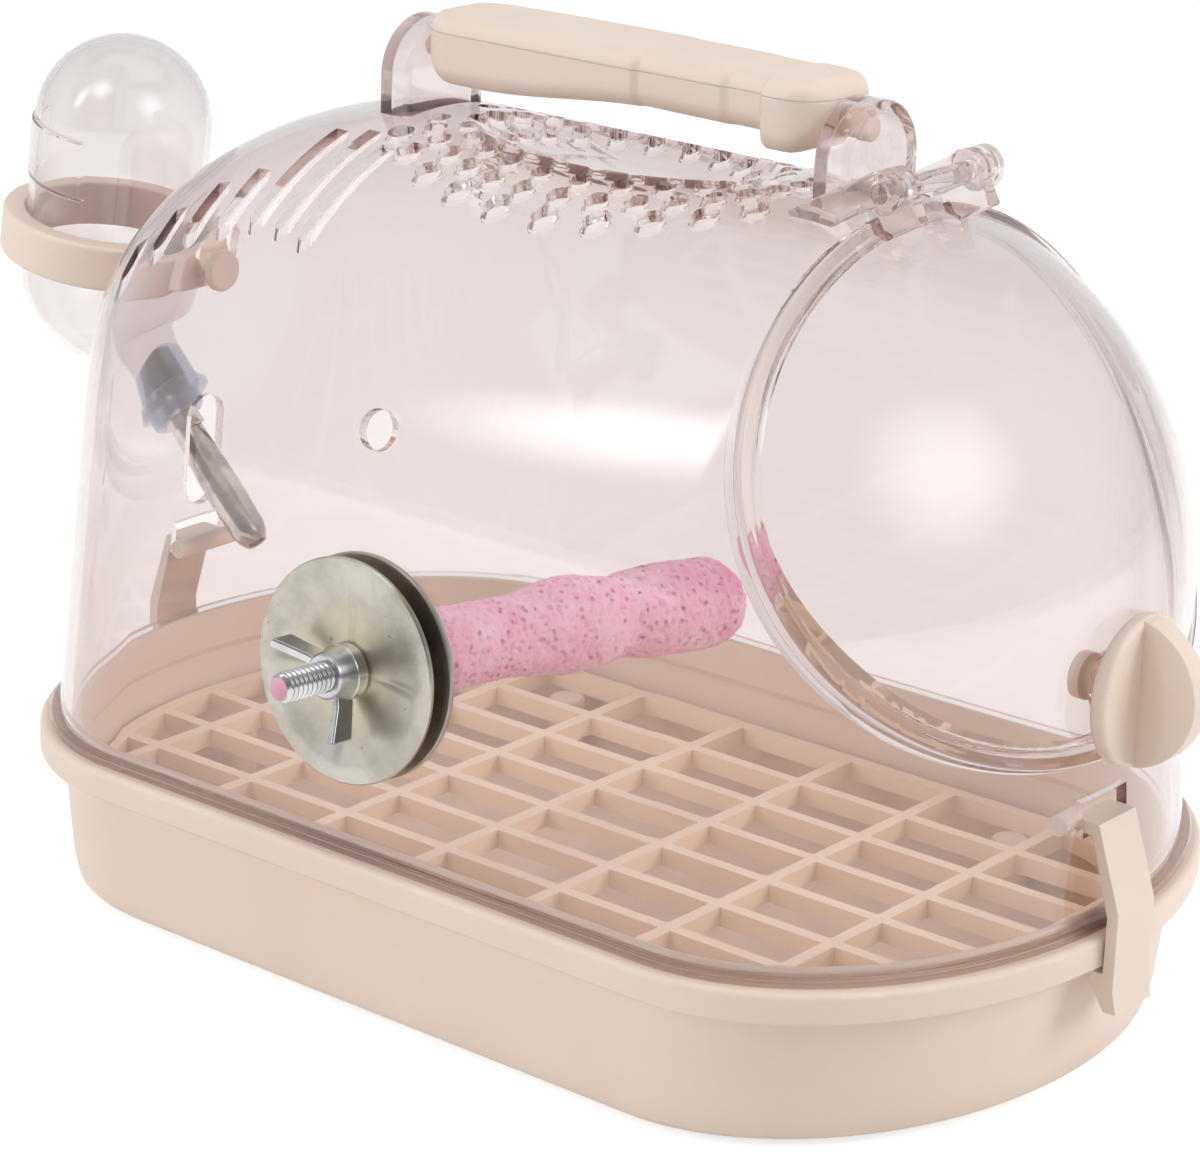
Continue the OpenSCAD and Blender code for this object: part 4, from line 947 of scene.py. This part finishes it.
def make_bottle():
    bottle = loft("bottle", bottle_path(0) + bottle_path(BOTTLE_WALL)[::-1])
    dress(bottle, "bottle_unit", BOTTLE_CLEAR, ["bottle"], 50)
    inner, outer, edge = BOTTLE_R + FIT, BOTTLE_R + FIT + RING_T, 1.0
    low, high = -RING_DOWN, -RING_DOWN + RING_H
    profile = (arc(outer - edge, low + edge, edge, -90, 0, 5) + arc(outer - edge, high - edge, edge, 0, 90, 5)
               + arc(inner + 0.6, high - 0.6, 0.6, 90, 180, 4) + arc(inner + 0.6, low + 0.6, 0.6, 180, 270, 4))
    ring = lathe("bottle_bracket", profile, AT_BOTTLE, 128, looped=True)
    arm_end, arm_under, arm_h = -KEYHOLE_X - 1.5, 4.5, 9
    arm = soften(box("arm", (-BOTTLE_X + BOTTLE_R - 4, arm_end), (-8, 8),
                     (KEYHOLE_Z - arm_under, KEYHOLE_Z - arm_under + arm_h)), 1.0, 3)
    along = turn(90, "Y")
    neck = lathe("peg", [(PEG_NECK_D / 2, 0), (PEG_NECK_D / 2, WALL + PEG_PLAY + 3.5)],
                 shift(arm_end - 1, 0, KEYHOLE_Z) @ along, 40)
    r, t = PEG_HEAD_D / 2, PEG_HEAD_T
    head = lathe("head", [(r - 0.4, 0), (r, 0.4), (r, t - 0.8), (r - 0.3, t - 0.3), (r - 1, t)],
                 shift(-KEYHOLE_X + WALL + PEG_PLAY, 0, KEYHOLE_Z) @ along, 48)
    fuse(ring, arm, neck, head)
    carve(ring, lathe("bore", [(inner, low - 6), (inner, high + 6)], AT_BOTTLE, 128))
    dress(ring, "bottle_unit", CREAM, ["bottle_bracket"])


def wavy(profile, waves, depth, steps=96):
    """Rings of a lathed form whose rim ripples: each point is (radius, height, share of the ripple)."""
    rings = []
    for r, z, share in profile:
        rings.append([((r + depth * share * math.sin(waves * math.tau * k / steps)) * math.cos(math.tau * k / steps),
                       (r + depth * share * math.sin(waves * math.tau * k / steps)) * math.sin(math.tau * k / steps), z)
                      for k in range(steps)])
    return rings


def make_spout():
    bore = SPOUT_D / 2 + SPOUT_WALL + 0.02
    plug, flange = NECK_R - BOTTLE_WALL - 0.05, STOPPER_FLANGE_D / 2 - 0.5
    collar = bore + 2.4
    top = STOPPER_FLANGE_T + STOPPER_COLLAR_L
    profile = [(bore, -PLUG_L, 0), (plug - 0.5, -PLUG_L, 0), (plug, -PLUG_L + 0.5, 0), (plug, 0, 0),
               (flange - 0.6, 0, 0.4), (flange, 0.6, 1), (flange, STOPPER_FLANGE_T - 0.6, 1),
               (flange - 0.8, STOPPER_FLANGE_T, 0.6), (collar + 0.6, STOPPER_FLANGE_T + 0.2, 0),
               (collar, STOPPER_FLANGE_T + 1, 0), (collar - 0.3, top - 0.5, 0), (collar - 0.9, top, 0), (bore, top, 0)]
    stopper = loft("bottle_stopper", wavy(profile, 9, 0.45), AT_SPOUT, looped=True)
    dress(stopper, "bottle_unit", SILICONE, ["bottle_stopper"], 50)
    sleeve_r, length = SPOUT_D / 2 + SPOUT_WALL, STOPPER_FLANGE_T + STOPPER_COLLAR_L + SLEEVE_OUT
    inner = SPOUT_D / 2
    slant = 2.0
    sleeve = loft("spout_sleeve", [
        [(r * math.cos(math.tau * k / 64), r * math.sin(math.tau * k / 64),
          z - (slant * (1 + math.cos(math.tau * k / 64)) if z > 0 else 0)) for k in range(64)]
        for r, z in ((inner, -PLUG_L), (sleeve_r, -PLUG_L), (sleeve_r, length - 0.25), (sleeve_r - 0.25, length),
                     (inner, length))], AT_SPOUT, looped=True)
    dress(sleeve, "bottle_unit", STEEL, ["spout_sleeve"], 40)
    tube_r, hollow, seat = SPOUT_D / 2 - 0.01, BALL_D / 2 + FIT, BALL_D / 2 - TIP_LIP
    tip = SPOUT_L
    shape = [(hollow, -6), (tube_r - 0.4, -6), (tube_r - 0.35, 10), (tube_r - 0.25, 16), (tube_r - 0.1, 22),
             (tube_r, 28), (tube_r, 33), (tube_r - 0.15, tip - 3.4), (tube_r - 0.6, tip - 1.8),
             (tube_r - 1.3, tip - 0.5), (seat + 0.5, tip), (seat, tip - 0.2), (seat, tip - TIP_T), (hollow, tip - TIP_T)]
    rings = []
    for r, z in shape:
        ring = []
        for k in range(96):
            a = math.tau * k / 96
            seam = max(0.0, math.cos(a - math.radians(118))) ** 160 if r > hollow and z < tip - 3 else 0
            ring.append(((r - 0.3 * seam) * math.cos(a), (r - 0.3 * seam) * math.sin(a), z))
        rings.append(ring)
    tube = loft("spout_tube", rings, AT_SPOUT, looped=True)
    dress(tube, "bottle_unit", STEEL, ["spout_tube"], 40)
    sink = math.sqrt((BALL_D / 2) ** 2 - seat ** 2)
    r = BALL_D / 2
    ball = lathe("spout_ball", [(r * math.sin(math.pi * i / 32), -r * math.cos(math.pi * i / 32)) for i in range(33)],
                 AT_SPOUT @ shift(0, 0, SPOUT_L - TIP_T - sink - 0.05), 48)
    dress(ball, "ball", STEEL, ["spout_ball"], 60)


# Perch

def make_perch():
    lengthwise, around = 300, 150
    swells = ((-0.12, 0.34, 0.12), (0.08, 0.54, 0.08), (-0.08, 0.68, 0.05), (0.05, 0.85, 0.08))
    rings = []
    for i in range(lengthwise + 1):
        t = i / lengthwise
        lumps = 0.97 + sum(size * math.exp(-((t - at) / width) ** 2) for size, at, width in swells)
        rim = 1 - 0.05 * (1 - smooth_step(t / 0.012))
        tail = max(0.0, (t - 0.92) / 0.08)
        rim *= math.sqrt(max(0.02, 1 - 0.9 * tail ** 2.6))
        r = PERCH_D / 2 * lumps * rim
        ring = []
        for k in range(around):
            a = math.tau * k / around
            x, y, z = math.cos(a), math.sin(a), PERCH_L * t
            spot = Vector((x * 9, y * 9, z))
            wobble = noise.noise(spot * 0.16) * 0.5 + noise.noise(spot * 0.5) * 0.28 + noise.noise(spot * 1.4) * 0.16
            pit = max(0.0, noise.noise(spot * 0.95 + Vector((40, 0, 0))) - 0.18)
            radius = r + (wobble - 1.9 * pit - 0.3) * min(1.0, rim + 0.2)
            ring.append((radius * x + PERCH_BEND * t ** 1.3, radius * y * 0.98, STICK_BASE - 0.02 - z))
        rings.append(ring)
    perch = loft("perch_stick", rings, AT_PERCH)
    dress(perch, "carrier", SAND, ["perch_stick"], 70, weighted=False)


def make_stud():
    """The stud's thread as one skin whose radius follows the helix."""
    pitch, depth, steps, per_turn = 1.25, 0.42, 40, 10
    start, end = STICK_BASE - STUD_IN, WASHER_T + STUD_OUT
    count = int((end - start) / pitch * per_turn)
    rings = []
    for i in range(count + 1):
        z = start + (end - start) * i / count
        fade = min(1.0, (end - z) / 1.0)
        ring = []
        for k in range(steps):
            phase = (z / pitch - k / steps) % 1.0
            wave = 1 - abs(2 * phase - 1)
            r = STUD_D / 2 - depth * (1 - smooth_step(wave * 1.3 - 0.15)) - 0.6 * (1 - fade) ** 2
            ring.append((r * math.cos(math.tau * k / steps), r * math.sin(math.tau * k / steps), z))
        rings.append(ring)
    stud = loft("perch_stud", rings, AT_PERCH)
    dress(stud, "carrier", CHROME, ["perch_stud"], 80, weighted=False)
    stud.data.materials.append(TIP)
    outward = (AT_PERCH.to_3x3() @ Vector((0, 0, 1))).normalized()
    for face in stud.data.polygons:
        if len(face.vertices) > 8 and face.normal.dot(outward) > 0.9:
            face.material_index = 1


def washer_rings(steps=160):
    hole, rim, slope = STUD_D / 2 + 0.2, WASHER_D / 2, WASHER_D / 2 - WASHER_RIM_W
    top = WASHER_CUP + WASHER_T
    profile = [(hole, 0), (WASHER_HUB_R, 0), (slope, WASHER_CUP), (rim - 0.3, WASHER_CUP), (rim, WASHER_CUP + 0.3),
               (rim, top - 0.3), (rim - 0.3, top), (slope + 0.8, top), (slope - 0.8, top - 0.15),
               (16, WASHER_T + 0.8), (WASHER_HUB_R + 0.8, WASHER_T + 0.12), (WASHER_HUB_R - 0.8, WASHER_T),
               (7.5, WASHER_T), (hole + 0.3, WASHER_T), (hole, WASHER_T - 0.2)]
    rings = []
    for r, z in profile:
        ring = []
        for k in range(steps):
            a = math.tau * k / steps
            crease = max(0.0, math.cos(4 * a)) ** 24
            dent = -0.45 * crease * smooth_step((r - 7) / 3) * (1 - smooth_step((r - 15) / 3)) if z > 0.9 else 0
            ring.append((r * math.cos(a), r * math.sin(a), z + dent))
        rings.append(ring)
    return rings


def make_washers():
    outer = loft("outer_washer", washer_rings(), AT_PERCH, looped=True)
    dress(outer, "carrier", ZINC, ["outer_washer"], 40)
    inner = loft("inner_washer", washer_rings(), AT_PERCH @ shift(0, 0, -WALL) @ Matrix.Diagonal((1, 1, -1, 1)),
                 looped=True)
    dress(inner, "carrier", ZINC, ["inner_washer"], 40)


def make_nut():
    hub_r, hub_h, wing_t, wing_r = 5.5, 3.0, 2.0, 10.5
    place = AT_PERCH @ shift(0, 0, WASHER_T + 0.1)
    nut = lathe("wing_nut", [(hub_r - 0.4, 0), (hub_r, 0.4), (hub_r, hub_h - 0.3), (hub_r - 0.3, hub_h),
                             (hub_r - 1.0, NUT_H - 0.5), (hub_r - 1.5, NUT_H)], place, 64)
    wings = []
    for angle in (161, 290):
        start, tip, low, high = STUD_D / 2 + 0.8, wing_r + 2.4, 1.2, NUT_H + 2.2
        outline = [(start, low), (start + 2.2, low), (tip, high - 5.6), (tip, high), (start + 2.4, NUT_H - 1.2),
                   (start, NUT_H - 1.6)]
        wing = loft("wing", [[(x, y, h) for x, h in outline] for y in (-wing_t / 2, wing_t / 2)],
                    place @ turn(angle, "Z"))
        wings.append(soften(wing, 0.5, 3))
    fuse(nut, *wings)
    bore = STUD_D / 2 + 0.05
    carve(nut, lathe("bore", [(bore, -1), (bore, NUT_H + 1)], place, 48))
    dress(nut, "nut", CHROME, ["wing_nut"], 35)


make_tray()
make_grid()
make_cabin()
make_lid()
make_latch()
make_clip("door_end_clip", "clip_door", 1)
make_clip("bottle_end_clip", "clip_bottle", -1)
make_handle()
make_bottle()
make_spout()
make_perch()
make_stud()
make_washers()
make_nut()


# Floor, lamps and camera

def seen_or_lit(nodes, links, seen, lit):
    """Mixes two shaders: one for what the camera, metal and glass see, one for the rest."""
    path = nodes.new("ShaderNodeLightPath")
    add = nodes.new("ShaderNodeMath")
    add.operation, add.use_clamp = "ADD", True
    links.new(path.outputs["Is Camera Ray"], add.inputs[0])
    links.new(path.outputs["Is Glossy Ray"], add.inputs[1])
    both = nodes.new("ShaderNodeMath")
    both.operation, both.use_clamp = "ADD", True
    links.new(add.outputs[0], both.inputs[0])
    links.new(path.outputs["Is Transmission Ray"], both.inputs[1])
    mix = nodes.new("ShaderNodeMixShader")
    links.new(both.outputs[0], mix.inputs[0])
    links.new(lit, mix.inputs[1])
    links.new(seen, mix.inputs[2])
    return mix.outputs[0]


def make_floor():
    size = 3000
    floor = solid("studio_floor", [(-size, -size, -0.2), (size, -size, -0.2), (size, size, -0.2), (-size, size, -0.2)],
                  [(0, 1, 2, 3)])
    material = bpy.data.materials.new("studio_floor")
    material.use_nodes = True
    nodes, links = material.node_tree.nodes, material.node_tree.links
    nodes.remove(nodes["Principled BSDF"])
    diffuse, glow, sheet = (nodes.new("ShaderNodeBsdfDiffuse"), nodes.new("ShaderNodeEmission"),
                            nodes.new("ShaderNodeAddShader"))
    diffuse.inputs["Color"].default_value = (0.62, 0.61, 0.6, 1)
    glow.inputs["Color"].default_value = (1, 1, 1, 1)
    path, dim = nodes.new("ShaderNodeLightPath"), nodes.new("ShaderNodeMapRange")
    dim.inputs["To Min"].default_value, dim.inputs["To Max"].default_value = 0.68, 0.59
    links.new(path.outputs["Is Glossy Ray"], dim.inputs["Value"])
    links.new(dim.outputs["Result"], glow.inputs["Strength"])
    links.new(diffuse.outputs[0], sheet.inputs[0])
    links.new(glow.outputs[0], sheet.inputs[1])
    plain = nodes.new("ShaderNodeBsdfDiffuse")
    plain.inputs["Color"].default_value = (0.8, 0.79, 0.78, 1)
    out = seen_or_lit(nodes, links, sheet.outputs[0], plain.outputs[0])
    links.new(out, nodes["Material Output"].inputs["Surface"])
    floor.data.materials.append(material)


def make_world():
    """White for the camera and what glass lets through; gloss also sees a darker side behind the photographer."""
    world = bpy.data.worlds.new("studio")
    bpy.context.scene.world = world
    world.use_nodes = True
    nodes, links = world.node_tree.nodes, world.node_tree.links
    lit = nodes["Background"]
    lit.inputs["Color"].default_value = (1, 0.99, 0.98, 1)
    lit.inputs["Strength"].default_value = 0.42
    seen = nodes.new("ShaderNodeBackground")
    seen.inputs["Strength"].default_value = 1.0
    path, place = nodes.new("ShaderNodeLightPath"), nodes.new("ShaderNodeTexCoord")
    toward = nodes.new("ShaderNodeVectorMath")
    toward.operation = "DOT_PRODUCT"
    toward.inputs[1].default_value = (0.62, -0.78, 0.1)
    links.new(place.outputs["Generated"], toward.inputs[0])
    shade = nodes.new("ShaderNodeMapRange")
    shade.inputs["From Min"].default_value, shade.inputs["From Max"].default_value = 0.0, 0.9
    shade.inputs["To Min"].default_value, shade.inputs["To Max"].default_value = 0.8, 0.22
    links.new(toward.outputs["Value"], shade.inputs["Value"])
    colour = nodes.new("ShaderNodeMix")
    colour.data_type = "RGBA"
    links.new(path.outputs["Is Glossy Ray"], colour.inputs[0])
    colour.inputs[6].default_value = (1, 1, 1, 1)
    links.new(shade.outputs["Result"], colour.inputs[7])
    links.new(colour.outputs[2], seen.inputs["Color"])
    out = seen_or_lit(nodes, links, seen.outputs[0], lit.outputs[0])
    links.new(out, nodes["World Output"].inputs["Surface"])


def lamp(name, place, target, size, power, card=False):
    """A soft box. A card shows only in gloss, and fades towards its edge; a lamp only lights."""
    data = bpy.data.lights.new(name, "AREA")
    data.shape, data.size, data.size_y, data.energy = "RECTANGLE", size[0], size[1], power
    ob = bpy.data.objects.new(name, data)
    bpy.context.scene.collection.objects.link(ob)
    ob.location = place
    ob.rotation_mode = "QUATERNION"
    ob.rotation_quaternion = (Vector(target) - Vector(place)).to_track_quat("-Z", "Y")
    ob.visible_glossy = ob.visible_transmission = card
    ob.visible_diffuse = not card
    if not card:
        return
    data.use_nodes = True
    nodes, links = data.node_tree.nodes, data.node_tree.links
    spread, off, far, fade = (nodes.new("ShaderNodeNewGeometry"), nodes.new("ShaderNodeVectorMath"),
                              nodes.new("ShaderNodeVectorMath"), nodes.new("ShaderNodeMapRange"))
    off.operation, far.operation = "SUBTRACT", "LENGTH"
    off.inputs[1].default_value = (0.5, 0.5, 0)
    links.new(spread.outputs["Parametric"], off.inputs[0])
    links.new(off.outputs[0], far.inputs[0])
    fade.interpolation_type = "SMOOTHERSTEP"
    fade.inputs["From Min"].default_value, fade.inputs["From Max"].default_value = 0.5, 0.0
    links.new(far.outputs["Value"], fade.inputs["Value"])
    links.new(fade.outputs["Result"], nodes["Emission"].inputs["Strength"])


def make_camera():
    """The photograph's camera: its turn, height, roll and focal length."""
    azimuth, elevation, roll = math.radians(38.72), math.radians(18.78), math.radians(2)
    right = Vector((math.cos(azimuth), math.sin(azimuth), 0))
    back = Vector((math.sin(azimuth) * math.cos(elevation), -math.cos(azimuth) * math.cos(elevation),
                   math.sin(elevation)))
    up = back.cross(right)
    side = right * math.cos(roll) + up * math.sin(roll)
    head = up * math.cos(roll) - right * math.sin(roll)
    data = bpy.data.cameras.new("camera")
    data.sensor_width, data.lens = 36, 3929 * 36 / 1200
    data.clip_start, data.clip_end = 0.01, 20
    camera = bpy.data.objects.new("camera", data)
    bpy.context.scene.collection.objects.link(camera)
    camera.matrix_world = Matrix((
        (side.x, head.x, back.x, 0.4670), (side.y, head.y, back.y, -0.5866), (side.z, head.z, back.z, 0.3272),
        (0, 0, 0, 1)))
    bpy.context.scene.camera = camera


make_floor()
make_world()
lamp("left_box", (-0.50, -0.95, 0.42), (0, 0, 0.09), (0.5, 0.6), 4)
lamp("right_box", (0.95, 0.50, 0.55), (0, 0, 0.09), (0.5, 0.6), 5.5)
lamp("top_box", (0.1, -0.2, 1.3), (0, 0, 0.08), (1.0, 0.9), 5)
lamp("door_card", (0.737, -0.044, 0.612), (0.102, -0.034, 0.126), (0.9, 0.9), 5.2, card=True)
lamp("side_card", (-0.385, -0.557, 0.534), (0.068, -0.060, 0.127), (0.2, 0.6), 1.4, card=True)
lamp("front_card", (-0.13, -0.51, 0.78), (0, 0, 0.15), (0.6, 0.6), 3, card=True)
make_camera()
bpy.context.scene.view_settings.view_transform = "Standard"
